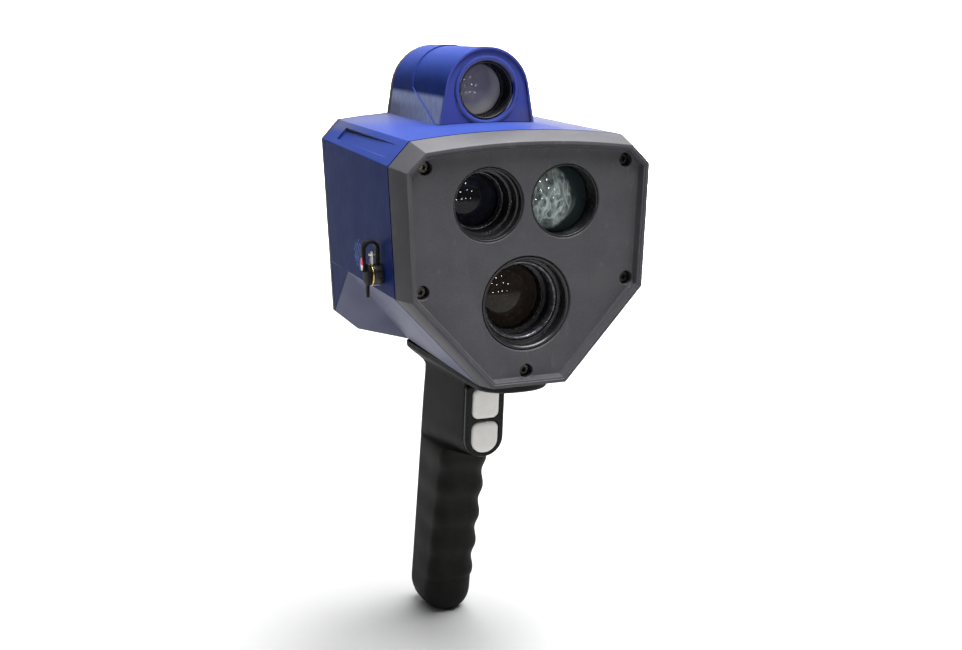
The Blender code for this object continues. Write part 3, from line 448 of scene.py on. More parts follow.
class Finish:
    """A Principled material with its textures in object space."""

    def __init__(self, name, sockets):
        self.material = bpy.data.materials.new(name)
        self.material.use_nodes = True
        self.tree = self.material.node_tree
        self.shader = self.tree.nodes["Principled BSDF"]
        self.fill(self.shader, sockets)
        self.coords = self.node("TexCoord", {})

    def fill(self, node, inputs):
        """Sets a node's inputs, each to a value, an RGB colour or another node's output."""
        for name, value in inputs.items():
            socket = node.inputs[name]
            if isinstance(value, bpy.types.NodeSocket):
                self.tree.links.new(value, socket)
            elif socket.type == "RGBA":
                socket.default_value = (*value, 1.0)
            else:
                socket.default_value = value

    def node(self, kind, inputs, **settings):
        """Adds a node and returns its outputs."""
        node = self.tree.nodes.new("ShaderNode" + kind)
        for name, value in settings.items():
            setattr(node, name, value)
        self.fill(node, inputs)
        return node.outputs

    def place(self, size, stretch=(1.0, 1.0, 1.0), centre=(0.0, 0.0, 0.0)):
        """Texture coordinates in units of size millimetres, about a centre in the device frame."""
        inputs = {
            "Vector": self.coords["Object"],
            "Location": ORIGIN + Vector(centre) * MM,
            "Scale": [size * MM * value for value in stretch],
        }
        return self.node("Mapping", inputs, vector_type="TEXTURE")["Vector"]

    def noise(self, size, detail=2.0, distortion=0.0, stretch=(1.0, 1.0, 1.0), roughness=0.5):
        inputs = {"Vector": self.place(size, stretch), "Scale": 1.0, "Detail": detail}
        inputs.update({"Roughness": roughness, "Distortion": distortion})
        return self.node("TexNoise", inputs)["Fac"]

    def cell_edges(self, size):
        """Distance to the edges of irregular cells."""
        inputs = {"Vector": self.place(size), "Scale": 1.0}
        return self.node("TexVoronoi", inputs, feature="DISTANCE_TO_EDGE")["Distance"]

    def distance(self, centre, stretch=(1.0, 1.0, 1.0)):
        """Distance in millimetres from a point in the device frame."""
        return self.node("VectorMath", {0: self.place(1.0, stretch, centre)}, operation="LENGTH")["Value"]

    def band(self, axis, start, full, fading, end):
        """One inside a range of the device's X, Y or Z in millimetres, falling to zero outside."""
        value = self.node("SeparateXYZ", {"Vector": self.place(1.0)})[axis]
        rise = self.remap(value, start, full, smooth=True)
        return self.math("MULTIPLY", rise, self.remap(value, fading, end, 1.0, 0.0, smooth=True))

    def facing(self, axis, low, high):
        """Zero to one as a face's normal leans along X, Y or Z, either way for X."""
        lean = self.node("SeparateXYZ", {"Vector": self.coords["Normal"]})[axis]
        if axis == "X":
            lean = self.math("ABSOLUTE", lean)
        return self.remap(lean, low, high, smooth=True)

    def remap(self, value, low, high, to_low=0.0, to_high=1.0, smooth=False):
        inputs = {"Value": value, "From Min": low, "From Max": high, "To Min": to_low, "To Max": to_high}
        return self.node("MapRange", inputs, interpolation_type="SMOOTHSTEP" if smooth else "LINEAR")["Result"]

    def math(self, operation, first, *others):
        """Takes values in order, two at a time. Each is a number or another node's output."""
        for other in others or (0.0,):
            first = self.node("Math", {0: first, 1: other}, operation=operation)["Value"]
        return first

    def mix(self, factor, first, second):
        return self.node("Mix", {"Factor": factor, "A": first, "B": second}, data_type="RGBA")["Result"]

    def fade(self, value, low, high, first, second, strength=1.0):
        """Turns from the first colour towards the second as a value goes from low to high."""
        return self.mix(self.remap(value, low, high, 0.0, strength), first, second)

    def dress(self, colour, roughness=None, bumps=()):
        """Links the colour, a (value, low, high) roughness and (height value, millimetres) bumps."""
        looks = {"Base Color": colour}
        if roughness:
            value, low, high = roughness
            looks["Roughness"] = self.remap(value, 0.3, 0.7, low, high)
        for height, depth in bumps:
            inputs = {"Distance": depth * MM, "Height": height}
            if "Normal" in looks:
                inputs["Normal"] = looks["Normal"]
            looks["Normal"] = self.node("Bump", inputs)["Normal"]
        self.fill(self.shader, looks)
        return self.material


def blue_paint():
    """Satin blue powder paint: fine grain, faint vertical streaks and pale countersinks, with painted light and
    sheen.
    """
    finish = Finish("blue_paint_finish", {"Specular IOR Level": 0.01})
    cloud = finish.noise(28.0, detail=3.0)
    grain = finish.noise(0.5)
    streak = finish.noise(0.9, detail=3.0, stretch=(1.0, 1.0, 26.0))
    paint = finish.fade(cloud, 0.35, 0.65, (0.006, 0.015, 0.086), (0.009, 0.021, 0.104))
    # Painted light: faces that look up are mixed towards a lighter blue, as if lit from above.
    paint = finish.mix(finish.facing("Z", 0.1, 0.95), paint, (0.021, 0.036, 0.160))
    # Painted light: the hood's forward-looking front face gets a brighter, lit blue.
    hood_face = finish.band("Y", 60.0, 61.0, 72.0, 73.0)
    hood_face = finish.math("MULTIPLY", finish.facing("Y", -0.6, -0.95), hood_face)
    paint = finish.mix(hood_face, paint, (0.041, 0.053, 0.225))
    paint = finish.fade(streak, 0.5, 0.75, paint, (0.032, 0.050, 0.170), 0.15)
    # Painted sheen: a pale reflection on the side walls of the turret and hood, broken up by the streaks.
    flank_sheen = finish.math(
        "MULTIPLY", finish.band("Z", 139.0, 143.0, 158.0, 161.5), finish.band("Y", 60.0, 68.0, 150.0, 156.0),
        finish.facing("X", 0.7, 0.9), finish.remap(streak, 0.3, 0.7, 0.6, 1.0),
    )
    paint = finish.mix(flank_sheen, paint, (0.24, 0.28, 0.42))
    top = finish.band("Z", 134.0, 139.0, 150.0, 156.0)
    # Painted sheen: a grey reflection over the top towards the rear, patchy with the cloud.
    rear = finish.math(
        "MULTIPLY", finish.band("Y", 70.0, 150.0, 160.0, 170.0), top, finish.remap(cloud, 0.3, 0.7, 0.5, 0.8)
    )
    paint = finish.mix(rear, paint, (0.062, 0.065, 0.095))
    # Painted sheen: a lighter grey reflection over the right half of the top, patchy with the cloud.
    right = finish.math(
        "MULTIPLY", finish.band("X", 0.0, 62.0, 90.0, 91.0), top, finish.remap(cloud, 0.3, 0.7, 0.8, 1.0)
    )
    paint = finish.mix(right, paint, (0.085, 0.086, 0.122))
    # Painted reflection: faces that look down turn pale grey-violet, as if reflecting the pale floor.
    belly = finish.math("MULTIPLY", finish.facing("Z", -0.16, -0.3), finish.remap(cloud, 0.3, 0.7, 0.7, 0.9))
    paint = finish.mix(belly, paint, (0.16, 0.164, 0.215))
    reach = finish.distance((-SPEAKER_WALL, *SPEAKER_CENTRE))
    near = finish.remap(reach, SPEAKER_RADIUS + 1.5, SPEAKER_RADIUS + 2.0, 1.0, 0.0)
    countersink = finish.math("MULTIPLY", near, finish.facing("X", 0.97, 0.85))
    paint = finish.mix(countersink, paint, (0.13, 0.19, 0.42))
    paint = finish.fade(grain, 0.55, 0.8, paint, (0.036, 0.052, 0.18), 0.2)
    return finish.dress(paint, (streak, 0.36, 0.5), ((finish.noise(1.6), 0.03), (grain, 0.02), (streak, 0.01)))


def grey_plastic():
    """Dark grey moulded plastic with a fine spark-eroded texture and dull scuffs."""
    finish = Finish("grey_plastic_finish", {"Specular IOR Level": 0.25})
    mottle = finish.noise(0.9, detail=4.0, roughness=0.7)
    cloud = finish.noise(22.0, detail=4.0)
    scuff = finish.noise(5.0, detail=5.0, distortion=1.2, stretch=(1.0, 1.0, 3.0))
    colour = finish.fade(cloud, 0.35, 0.65, (0.032, 0.0315, 0.037), (0.041, 0.0405, 0.046))
    colour = finish.fade(mottle, 0.35, 0.7, colour, (0.066, 0.066, 0.071), 0.4)
    colour = finish.fade(scuff, 0.62, 0.78, colour, (0.1, 0.1, 0.1), 0.3)
    bumps = (finish.noise(0.5, detail=3.0, roughness=0.7), 0.05), (finish.noise(2.4), 0.03)
    return finish.dress(colour, (mottle, 0.48, 0.64), bumps)


def soft_touch_black():
    """Black soft-touch coating with fine grain and handled, slightly polished patches."""
    finish = Finish("soft_touch_black_finish", {"Specular IOR Level": 0.05})
    grain = finish.noise(0.35, detail=3.0, roughness=0.7)
    wear = finish.noise(14.0, detail=3.0)
    colour = finish.fade(wear, 0.35, 0.7, (0.009, 0.009, 0.0087), (0.0145, 0.0143, 0.0135))
    colour = finish.fade(grain, 0.5, 0.8, colour, (0.025, 0.025, 0.024), 0.4)
    return finish.dress(colour, (wear, 0.5, 0.62), ((grain, 0.03),))


def black_anodised():
    """Black anodised metal, turned, with faint circular tool marks."""
    finish = Finish("black_anodised_finish", {"Metallic": 0.25})
    marks = finish.noise(0.3, detail=1.0, stretch=(12.0, 1.0, 12.0))
    dust = finish.noise(0.6, detail=5.0, roughness=0.8)
    colour = finish.fade(dust, 0.62, 0.8, (0.010, 0.010, 0.011), (0.05, 0.05, 0.052))
    return finish.dress(colour, (marks, 0.22, 0.42), ((marks, 0.01),))


def ring_black():
    """Satin black retaining rings whose bevels show grey where they catch the light."""
    finish = Finish("ring_black_finish", {"Metallic": 0.7})
    marks = finish.noise(0.3, detail=1.0, stretch=(12.0, 1.0, 12.0))
    colour = finish.fade(finish.noise(3.0), 0.4, 0.7, (0.05, 0.05, 0.056), (0.11, 0.11, 0.125))
    return finish.dress(colour, (marks, 0.2, 0.36), ((marks, 0.008),))


def black_plastic():
    """Smooth black plastic with a slight orange peel."""
    finish = Finish("black_plastic_finish", {"Specular IOR Level": 0.1})
    peel = finish.noise(1.8)
    colour = finish.fade(finish.noise(9.0), 0.3, 0.7, (0.006, 0.006, 0.0062), (0.009, 0.009, 0.0092))
    return finish.dress(colour, (peel, 0.24, 0.36), ((peel, 0.02),))


def button_white():
    """Off-white translucent-looking plastic, a little dirtier in places."""
    scatter = {"Subsurface Weight": 0.15, "Subsurface Radius": (0.002, 0.0016, 0.0012), "Subsurface Scale": 1.0}
    finish = Finish("button_white_finish", scatter)
    stain = finish.noise(7.0, detail=4.0)
    colour = finish.fade(stain, 0.35, 0.75, (0.62, 0.61, 0.59), (0.56, 0.55, 0.525))
    return finish.dress(colour, (finish.noise(2.0), 0.32, 0.46), ((finish.noise(0.8, detail=3.0), 0.012),))


def dark_lens(name, centre, deep, tint, glow):
    """A coated lens over a dark barrel: smoky tinted depths, faint inner rings, little reflection."""
    finish = Finish(name, {"Roughness": 0.03, "IOR": 1.22, "Coat Weight": 0.12, "Coat Roughness": 0.01})
    radius = finish.distance(centre, (1.0, 30.0, 1.0))
    cloud = finish.noise(7.5, detail=3.0, distortion=1.2)
    core = finish.fade(cloud, 0.42, 0.72, deep, tint)
    waves = finish.math("SINE", finish.math("MULTIPLY", radius, 0.95))
    rings = finish.math("MULTIPLY", finish.remap(waves, 0.8, 1.0, 0.0, 0.5), finish.remap(cloud, 0.4, 0.6))
    return finish.dress(finish.mix(rings, core, glow))


def receiver_glass():
    """A bright plano-convex lens that shows a crumpled, whitish image of its inner parts."""
    sockets = {"Roughness": 0.06, "IOR": 1.3, "Coat Weight": 0.2, "Coat Roughness": 0.02}
    finish = Finish("receiver_glass_finish", sockets)
    x, z = RECEIVER_AXIS
    swirl = finish.noise(13.0, detail=3.0, distortion=2.2, stretch=(0.7, 3.0, 1.3), roughness=0.55)
    arcs = finish.noise(8.0, detail=1.0, distortion=1.1, stretch=(0.75, 3.0, 1.7), roughness=0.4)
    ridge = finish.math("ABSOLUTE", finish.math("SUBTRACT", arcs, 0.5))
    colour = finish.fade(swirl, 0.36, 0.66, (0.040, 0.054, 0.055), (0.215, 0.25, 0.245))
    colour = finish.mix(finish.remap(ridge, 0.0, 0.045, 0.5, 0.0), colour, (0.46, 0.57, 0.58))
    colour = finish.fade(finish.noise(5.0, distortion=1.0), 0.58, 0.68, colour, (0.26, 0.23, 0.15), 0.4)
    reach = finish.distance((x - 6.0, 0.0, z + 1.0), (1.0, 40.0, 1.3))
    edge = finish.remap(reach, 12.0, 14.5, smooth=True)
    return finish.dress(finish.mix(edge, colour, (0.012, 0.018, 0.019)))


def sight_glass():
    """The sight's front element, hazy grey, with a painted reflection of the floor as a bright crescent at its
    lower right.
    """
    sockets = {"Roughness": 0.1, "IOR": 1.25, "Coat Weight": 0.1, "Coat Roughness": 0.03}
    finish = Finish("sight_glass_finish", sockets)
    reach = finish.distance((-6.5, 0.0, SIGHT_Z + 6.0), (1.0, 30.0, 1.0))
    grey = finish.fade(finish.noise(9.0), 0.3, 0.7, (0.19, 0.175, 0.22), (0.25, 0.235, 0.275))
    # Painted reflection: the bright crescent at the lower right stands for the pale floor seen in the lens.
    return finish.dress(finish.mix(finish.remap(reach, 13.0, 22.0, smooth=True), grey, (0.5, 0.49, 0.5)))


def clear_glass():
    """Plain coated glass with a dark barrel behind it."""
    finish = Finish("clear_glass_finish", {"Roughness": 0.05, "Coat Weight": 1.0, "Coat Roughness": 0.03})
    return finish.dress(finish.mix(finish.noise(8.0), (0.08, 0.1, 0.11), (0.16, 0.18, 0.19)))


def metal(name, colour, dark, roughness):
    """Machined metal with fine turning lines and tarnish."""
    finish = Finish(name, {"Metallic": 1.0})
    lines = finish.noise(0.25, stretch=(8.0, 1.0, 8.0))
    colour = finish.fade(finish.noise(2.5, detail=4.0), 0.4, 0.75, colour, dark)
    return finish.dress(colour, (lines, roughness * 0.7, roughness * 1.4), ((lines, 0.006),))


def rubber():
    """Moulded rubber with dusty, matt grain."""
    finish = Finish("black_rubber_finish", {"Specular IOR Level": 0.08})
    dust = finish.noise(3.5, detail=5.0, roughness=0.7)
    colour = finish.fade(dust, 0.5, 0.8, (0.006, 0.006, 0.0058), (0.016, 0.016, 0.015))
    return finish.dress(colour, (dust, 0.45, 0.65), ((finish.noise(0.4, detail=3.0), 0.03),))


def circuit_green():
    """Solder mask with lighter traces under it."""
    finish = Finish("circuit_green_finish", {"Roughness": 0.35})
    traces = finish.cell_edges(4.0)
    colour = finish.fade(traces, 0.03, 0.06, (0.03, 0.2, 0.08), (0.008, 0.08, 0.03))
    return finish.dress(colour, bumps=((traces, 0.02),))


def display_dark():
    """A hard-coated window over a dark panel."""
    finish = Finish("display_dark_finish", {"Coat Weight": 1.0, "Coat Roughness": 0.02})
    smear = finish.noise(16.0, detail=4.0, distortion=1.0)
    return finish.dress(finish.mix(smear, (0.005, 0.006, 0.008), (0.012, 0.013, 0.016)), (smear, 0.04, 0.14))


def battery_blue():
    """Shrink-wrapped film with soft wrinkles."""
    finish = Finish("battery_blue_finish", {"Roughness": 0.3})
    wrinkle = finish.noise(6.0, detail=3.0, distortion=1.0)
    return finish.dress(finish.mix(wrinkle, (0.02, 0.09, 0.2), (0.04, 0.15, 0.3)), bumps=((wrinkle, 0.1),))


def spot_red():
    """A plain two-tone mark: red above, white below."""
    finish = Finish("spot_red_finish", {"Roughness": 0.35})
    middle = SOCKET[2] + 6.0
    upper = finish.band("Z", middle - 0.4, middle + 0.4, middle + 30.0, middle + 31.0)
    colour = finish.mix(upper, (0.78, 0.74, 0.72), (0.62, 0.015, 0.03))
    return finish.dress(colour, bumps=((finish.noise(0.8), 0.02),))


def make_finishes():
    """All finishes by name, each made once."""
    plain = (
        blue_paint, grey_plastic, soft_touch_black, black_anodised, black_plastic, ring_black, button_white,
        clear_glass, receiver_glass, sight_glass, rubber, circuit_green, display_dark, battery_blue, spot_red,
    )
    metals = {
        "steel": ((0.5, 0.5, 0.5), (0.3, 0.28, 0.24), 0.3),
        "bright_steel": ((0.95, 0.93, 0.90), (0.8, 0.77, 0.7), 0.42),
        "dark_steel": ((0.055, 0.05, 0.043), (0.014, 0.013, 0.012), 0.25),
        "brass": ((0.75, 0.5, 0.2), (0.5, 0.3, 0.1), 0.28),
        "aluminium": ((0.55, 0.56, 0.58), (0.42, 0.42, 0.43), 0.4),
    }
    made = {maker.__name__: maker() for maker in plain}
    made.update({name: metal(f"{name}_finish", *looks) for name, looks in metals.items()})
    made["coated_glass"] = dark_lens(
        "emitter_glass_finish", (EMITTER_AXIS[0] - 3.0, 0.0, EMITTER_AXIS[1]),
        (0.0085, 0.0083, 0.0105), (0.014, 0.0145, 0.030), (0.028, 0.030, 0.056),
    )
    made["camera_glass"] = dark_lens(
        "camera_glass_finish", (CAMERA_AXIS[0] - 4.0, 0.0, CAMERA_AXIS[1]),
        (0.017, 0.0138, 0.0112), (0.034, 0.020, 0.014), (0.036, 0.037, 0.040),
    )
    return made


# ---------------------------------------------------------------- front cover


def build_front_cover():
    """The grey moulding: flared rim with a ledge, sunk panel, chamfered holes."""
    shell = slab_object("front_cover_shell", round_levels(0.0, COVER_DEPTH, cover_outline, 0.45))
    foot = RIM_WIDTH + POCKET_DRAFT
    wall = (
        (-1.0, RIM_LEDGE - 0.3), (0.0, RIM_LEDGE), (LEDGE_DEPTH, RIM_LEDGE + 0.35),
        (LEDGE_DEPTH, RIM_WIDTH - 0.2), (LEDGE_DEPTH + 0.25, RIM_WIDTH + 0.05),
        (POCKET_DEPTH - 0.6, foot), (POCKET_DEPTH - 0.15, foot + 0.2), (POCKET_DEPTH, foot + 0.65),
    )
    pocket = slab_object("pocket", [(y, cover_outline(0.0, inset)) for y, inset in wall])
    hollow_front = POCKET_DEPTH + PANEL_THICKNESS
    levels = [(y, cover_outline(y, COVER_WALL)) for y in (hollow_front, COVER_DEPTH + 1.0)]
    hollow = slab_object("cover_hollow", levels)
    bosses, bores, apertures = bmesh.new(), bmesh.new(), bmesh.new()
    front, back = POCKET_DEPTH, COVER_DEPTH
    for x, z in COVER_SCREWS:
        boss = ((0.0, front + 1.0), (BOSS_RADIUS, front + 1.0), (BOSS_RADIUS, back), (0.0, back))
        add_turned(bosses, boss, (x, 0.0, z), segments=40)
        radius, depth = COUNTERBORE_RADIUS, front + COUNTERBORE_DEPTH
        bore = (
            (0.0, front - 2.0), (radius + 2.35, front - 2.0), (radius, front + 0.35), (radius, depth),
            (SCREW_HOLE, depth), (SCREW_HOLE, back + 1.0), (0.0, back + 1.0),
        )
        add_turned(bores, bore, (x, 0.0, z), segments=56)
    holes = ((EMITTER_AXIS, SMALL_APERTURE), (RECEIVER_AXIS, SMALL_APERTURE), (CAMERA_AXIS, CAMERA_APERTURE))
    for (x, z), radius in holes:
        hole = (
            (0.0, front - 1.5), (radius + 1.95, front - 1.5), (radius + 0.12, front + 0.33),
            (radius, front + 0.6), (radius, front + 8.0), (0.0, front + 8.0),
        )
        add_turned(apertures, hole, (x, 0.0, z), segments=128)
    combine(
        shell,
        (CUT, pocket),
        (CUT, hollow),
        (JOIN, make("bosses", bosses)),
        (CUT, make("bores", bores)),
        (CUT, make("apertures", apertures)),
    )
    settle(shell, "grey_plastic", ["front_cover"])


def hexagon(across_flats):
    radius = across_flats / sqrt(3.0)
    corners = [radians(60 * i) for i in range(6)]
    return [(radius * cos(angle), radius * sin(angle)) for angle in corners]


def build_cover_screws():
    """Cap screws with bevelled heads and hexagon sockets, deep in the counterbores."""
    top = POCKET_DEPTH + COUNTERBORE_DEPTH - CAP_HEIGHT
    head = [(0.0, 0.0), (3.0, 0.0), (3.5, 0.45), (3.5, 3.0), (1.95, 3.0)]
    head += [(1.95, 11.4), (1.5, 12.0), (0.0, 12.0)]
    for i, (x, z) in enumerate(COVER_SCREWS, 1):
        screw = turned_object(f"cover_cap_screw_{i}", head, (x, top, z), segments=48)
        levels = [(y + top, [(px + x, pz + z) for px, pz in hexagon(HEX_ACROSS)]) for y in (-1.0, 2.2)]
        combine(screw, (CUT, slab_object("hex_socket", levels)))
        settle(screw, "dark_steel", [f"cover_screw_{i}"])


# ---------------------------------------------------------------- housing and sight


def flare_object(name, rear, inset):
    """The fuller rear end, as a convex form that grows out of the belly."""
    points = [(x, rear, z) for x, z in rear_outline(inset)]
    for sign in (-1.0, 1.0):
        x, y, z = SIDE_CREASE_END
        points.append((sign * (x - inset), y, z + inset * 0.4))
        points.append((sign * (x - inset - 4.0), y, z + 60.0))
        x, y, z = BOTTOM_CREASE_END
        points.append((sign * (x - inset * 0.6), min(y, rear - 0.1), z + inset))
    bm = bmesh.new()
    for point in points:
        bm.verts.new(point)
    made = bmesh.ops.convex_hull(bm, input=bm.verts)
    left = made["geom_interior"] + made["geom_unused"]
    loose = {item for item in left if isinstance(item, bmesh.types.BMVert)}
    bmesh.ops.delete(bm, geom=list(loose), context="VERTS")
    return make(name, bm)


def arch_object(name, ends, front, rear, inset, base_z):
    return slab_object(name, [(y, tapered_arch(ends, y, inset, base_z)) for y in (front, rear)])


def hood_space(name, offset):
    """Everything in front of the step between the hood and the turret, moved back by offset."""
    outline = [(y + offset, z) for y, z in HOOD_SPLIT] + [(50.0, 139.5), (50.0, 196.0)]
    return loft_object(name, [[(x, y, z) for y, z in outline] for x in (-40.0, 40.0)])


def thumb_recess(name, sign):
    """A shallow ramp in a top chamfer, deepest at the back and flush at the front."""
    edges = (*COVER_BACK_OUTLINE[:2], *REAR_TOP)
    high, low, rear_high, rear_low = (Vector((x, 0.0, z)) for x, z in edges)
    inward = Vector((-0.7, 0.0, -0.7))
    rings = []
    deepest = THUMB_RECESS_DEPTH
    for y, depth in ((30.0, 0.0), (60.0, 0.85), (127.2, deepest), (128.0, deepest - 0.5)):
        t = (y - COVER_DEPTH) / (BODY_DEPTH - COVER_DEPTH)
        bottom, top = low.lerp(rear_low, t), high.lerp(rear_high, t)
        ring = []
        section = (
            (0.2, -6.0), (0.8, -6.0), (0.765, depth - 0.3), (0.74, depth), (0.27, depth), (0.24, depth - 0.3)
        )
        for across, level in section:
            point = bottom.lerp(top, across) + inward * level
            ring.append((sign * point.x, y, point.z))
        rings.append(ring)
    return loft_object(name, rings)


def speaker_holes():
    """Staggered countersunk holes in a round field on the left wall."""
    bm = bmesh.new()
    y0, z0 = SPEAKER_CENTRE
    for column in range(-5, 6):
        for row in range(-3, 4):
            y, z = SPEAKER_COLUMN * column, SPEAKER_ROW * (row + 0.5 * (column % 2))
            if hypot(y, z) > SPEAKER_RADIUS:
                continue
            skin = -SPEAKER_WALL - SPEAKER_SLOPE[0] * y - SPEAKER_SLOPE[1] * z
            hole = (
                (0.0, skin - 0.3), (SPEAKER_MOUTH, skin - 0.3), (SPEAKER_HOLE, skin + 0.65),
                (SPEAKER_HOLE, -66.0), (0.0, -66.0),
            )
            add_turned(bm, hole, (0.0, y0 + y, z0 + z), "left", segments=12)
    return make("speaker_holes", bm)


def build_housing():
    """The blue shell with its belly flare, turret, thumb recesses and speaker holes."""
    levels = [(y, body_outline(y)) for y in (HOUSING_FRONT, HOUSING_REAR)]
    shell = slab_object("housing_shell", levels)
    flare = flare_object("rear_flare", HOUSING_REAR - 0.001, 0.0)
    turret = arch_object("turret", TURRET_ARCH, 65.0, HOUSING_REAR, 0.0, HOOD_BASE_Z)
    combine(turret, (CUT, hood_space("hood_space", SPLIT_GAP)))
    rear = HOUSING_REAR + 2.0
    inner = [(y, body_outline(y, HOUSING_WALL)) for y in (HOUSING_FRONT - 1.0, HOUSING_REAR + 1.0)]
    socket_hole = ((0.0, -80.0), (5.3, -80.0), (5.3, -60.0), (0.0, -60.0))
    combine(
        shell,
        (JOIN, flare),
        (JOIN, turret),
        (CUT, arch_object("turret_hollow", TURRET_ARCH, 60.0, rear, HOOD_WALL, TURRET_FLOOR_Z)),
        (CUT, slab_object("housing_hollow", inner)),
        (CUT, flare_object("flare_hollow", HOUSING_REAR + 1.0, HOUSING_WALL)),
        (CUT, turned_object("socket_hole", socket_hole, (0.0, *SOCKET[1:]), "left", 48)),
        (CUT, box_object("wiring_window", (-9.0, 84.0, -8.0), (9.0, 124.0, 6.0))),
        (CUT, thumb_recess("thumb_recess_left", -1.0)),
        (CUT, thumb_recess("thumb_recess_right", 1.0)),
        (CUT, speaker_holes()),
    )
    settle(shell, "blue_paint", ["main_housing"], sharp=24.0)


def build_hood():
    """The sight's front hood: thin lip, sunk face and a rounded ring round the mouth."""

    def outline(y, inset):
        return tapered_arch(HOOD_ARCH, y, inset, HOOD_BASE_Z)

    hood = slab_object("sight_hood_shell", round_levels(HOOD_FRONT, 130.0, outline, 0.3))
    below = HOOD_BASE_Z - 2.0
    front, bore = HOOD_FRONT, SIGHT_APERTURE
    face = front + HOOD_FACE_RECESS
    ring = [(bore, face + 3.5), (bore, front + 1.5), (bore + 0.9, front + 0.5), (bore + 2.3, front + 0.45)]
    ring = soften(ring + [(bore + 3.4, face - 0.1), (bore + 3.4, face + 3.5)], 0.6)
    mouth = ((0.0, front - 3.0), (bore, front - 3.0), (bore, face + 9.0), (0.0, face + 9.0))
    clearance = [(y, body_outline(y, -SPLIT_GAP)) for y in (HOUSING_FRONT, HOUSING_REAR)]
    place = (0.0, 0.0, SIGHT_Z)
    combine(
        hood,
        (KEEP, hood_space("hood_keep", 0.0)),
        (CUT, arch_object("hood_hollow", HOOD_ARCH, front + 5.0, 132.0, HOOD_WALL, below)),
        (CUT, arch_object("hood_face", HOOD_ARCH, front - 2.0, face, HOOD_LIP, below)),
        (CUT, turned_object("mouth", mouth, place, segments=128)),
        (JOIN, turned_object("ring", ring, place, segments=128)),
        (CUT, slab_object("body_clearance", clearance)),
    )
    settle(hood, "blue_paint", ["sight_hood"], sharp=24.0)


# ---------------------------------------------------------------- optics


def thread(radius, start, end, pitch=0.9, depth=0.35):
    """Profile points of a fine internal thread, from start to end."""
    count = max(1, round(abs(end - start) / pitch))
    step = (end - start) / count
    points = []
    for i in range(count):
        points.append((radius, start + step * i))
        points.append((radius + depth, start + step * (i + 0.5)))
    points.append((radius, end))
    return points


def node_size(name):
    """A turned node's axis (x, z), radius, front and rear depth, in device millimetres."""
    low, high = ((corner - ORIGIN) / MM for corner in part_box(name))
    return (low.x + high.x) / 2.0, (low.z + high.z) / 2.0, (high.z - low.z) / 2.0, low.y, high.y


def build_lens(name, node, finish, bulges):
    """A smooth element with a bevelled edge, in the room of its CAD node."""
    x, z, radius, front, rear = node_size(node)
    front_bulge, rear_bulge = bulges
    steps = 14
    profile = [(radius * i / steps, front + front_bulge * (i / steps) ** 2) for i in range(steps + 1)]
    profile[-1] = (radius - 0.2, front + front_bulge)
    profile.append((radius, front + front_bulge + 0.25))
    profile += [(radius * i / steps, rear - rear_bulge * (i / steps) ** 2) for i in range(steps, -1, -1)]
    lens = turned_object(name, profile, (x, 0.0, z))
    settle(lens, finish, [node], sharp=40.0)


def build_barrel(node, axis, profile, finish="black_anodised"):
    name, place = f"{node}_turned", (axis[0], 0.0, axis[1])
    barrel = turned_object(name, soften(profile, 0.25, limit=50.0, steps=2), place, segments=112)
    settle(barrel, finish, [node], sharp=35.0)


def ring_profile(node):
    """A retaining ring with a bevel on its front inner edge, as big as its CAD node."""
    radius, front, rear = node_size(node)[2:]
    inner = radius - 1.7
    return [(radius, front), (radius, rear), (inner, rear), (inner, front + 1.2), (radius - 0.9, front)]


def build_optics():
    """Stepped and threaded barrels, retaining rings and elements behind the apertures."""
    seat = node_size("emitter_ring")[3] + 12.0
    emitter = [(20.7, 6.0), (20.7, 44.0), (16.0, 44.0), (16.0, 74.0), (11.0, 74.0), (11.0, seat), (17.0, seat)]
    emitter += thread(17.0, seat - 1.0, 17.6) + [(17.2, 17.0), (18.6, 17.0)] + thread(18.6, 16.2, 11.0)
    emitter += [(18.6, 10.0), (19.7, 10.0), (19.7, 6.6), (20.1, 6.0)]
    build_barrel("emitter_barrel", EMITTER_AXIS, emitter)
    build_barrel("emitter_ring", EMITTER_AXIS, ring_profile("emitter_ring"), "ring_black")
    build_lens("emitter_front_glass", "emitter_lens", "coated_glass", (3.0, 1.2))

    seat = node_size("receiver_ring")[3] - 0.4
    receiver = [(20.7, 6.0), (20.7, 44.0), (16.0, 52.0), (16.0, 80.0), (9.0, 80.0), (9.0, 66.0), (14.0, 50.0)]
    receiver += [(18.4, 40.0), (18.4, seat), (19.7, seat)]
    receiver += thread(19.7, seat - 1.0, 7.4, depth=0.3) + [(19.7, 6.6), (20.1, 6.0)]
    build_barrel("receiver_barrel", RECEIVER_AXIS, receiver)
    build_barrel("receiver_ring", RECEIVER_AXIS, ring_profile("receiver_ring"))
    build_lens("receiver_front_glass", "receiver_lens", "receiver_glass", (3.4, 1.4))

    bell = [(25.6, 6.0), (26.6, 6.0), (27.0, 6.4), (27.0, 27.0), (20.0, 27.0), (20.0, 26.0), (21.5, 26.0)]
    bell += thread(21.5, 25.4, 20.6) + [(21.5, 20.0), (23.2, 20.0)] + thread(23.2, 19.2, 14.8, depth=0.3)
    bell += [(23.2, 14.0), (25.0, 14.0), (25.0, 9.6), (25.3, 9.0), (25.0, 8.4), (25.0, 6.8)]
    build_barrel("camera_bell", CAMERA_AXIS, bell)
    barrel = [(27.0, 27.3), (27.0, 46.0), (24.4, 46.0), (24.4, 86.0), (12.0, 86.0), (12.0, 62.0)]
    barrel += [(16.0, 62.0), (16.0, 48.0), (19.5, 48.0), (19.5, 27.3)]
    build_barrel("camera_barrel", CAMERA_AXIS, barrel)
    ring = [(22.8, 14.6), (22.8, 18.8), (20.6, 18.8), (20.6, 17.0), (21.4, 15.0), (22.0, 14.6)]
    build_barrel("camera_ring", CAMERA_AXIS, ring, "ring_black")
    build_lens("camera_front_glass", "camera_front_lens", "camera_glass", (4.0, 1.0))
    build_lens("camera_rear_glass", "camera_rear_lens", "clear_glass", (1.5, 2.0))


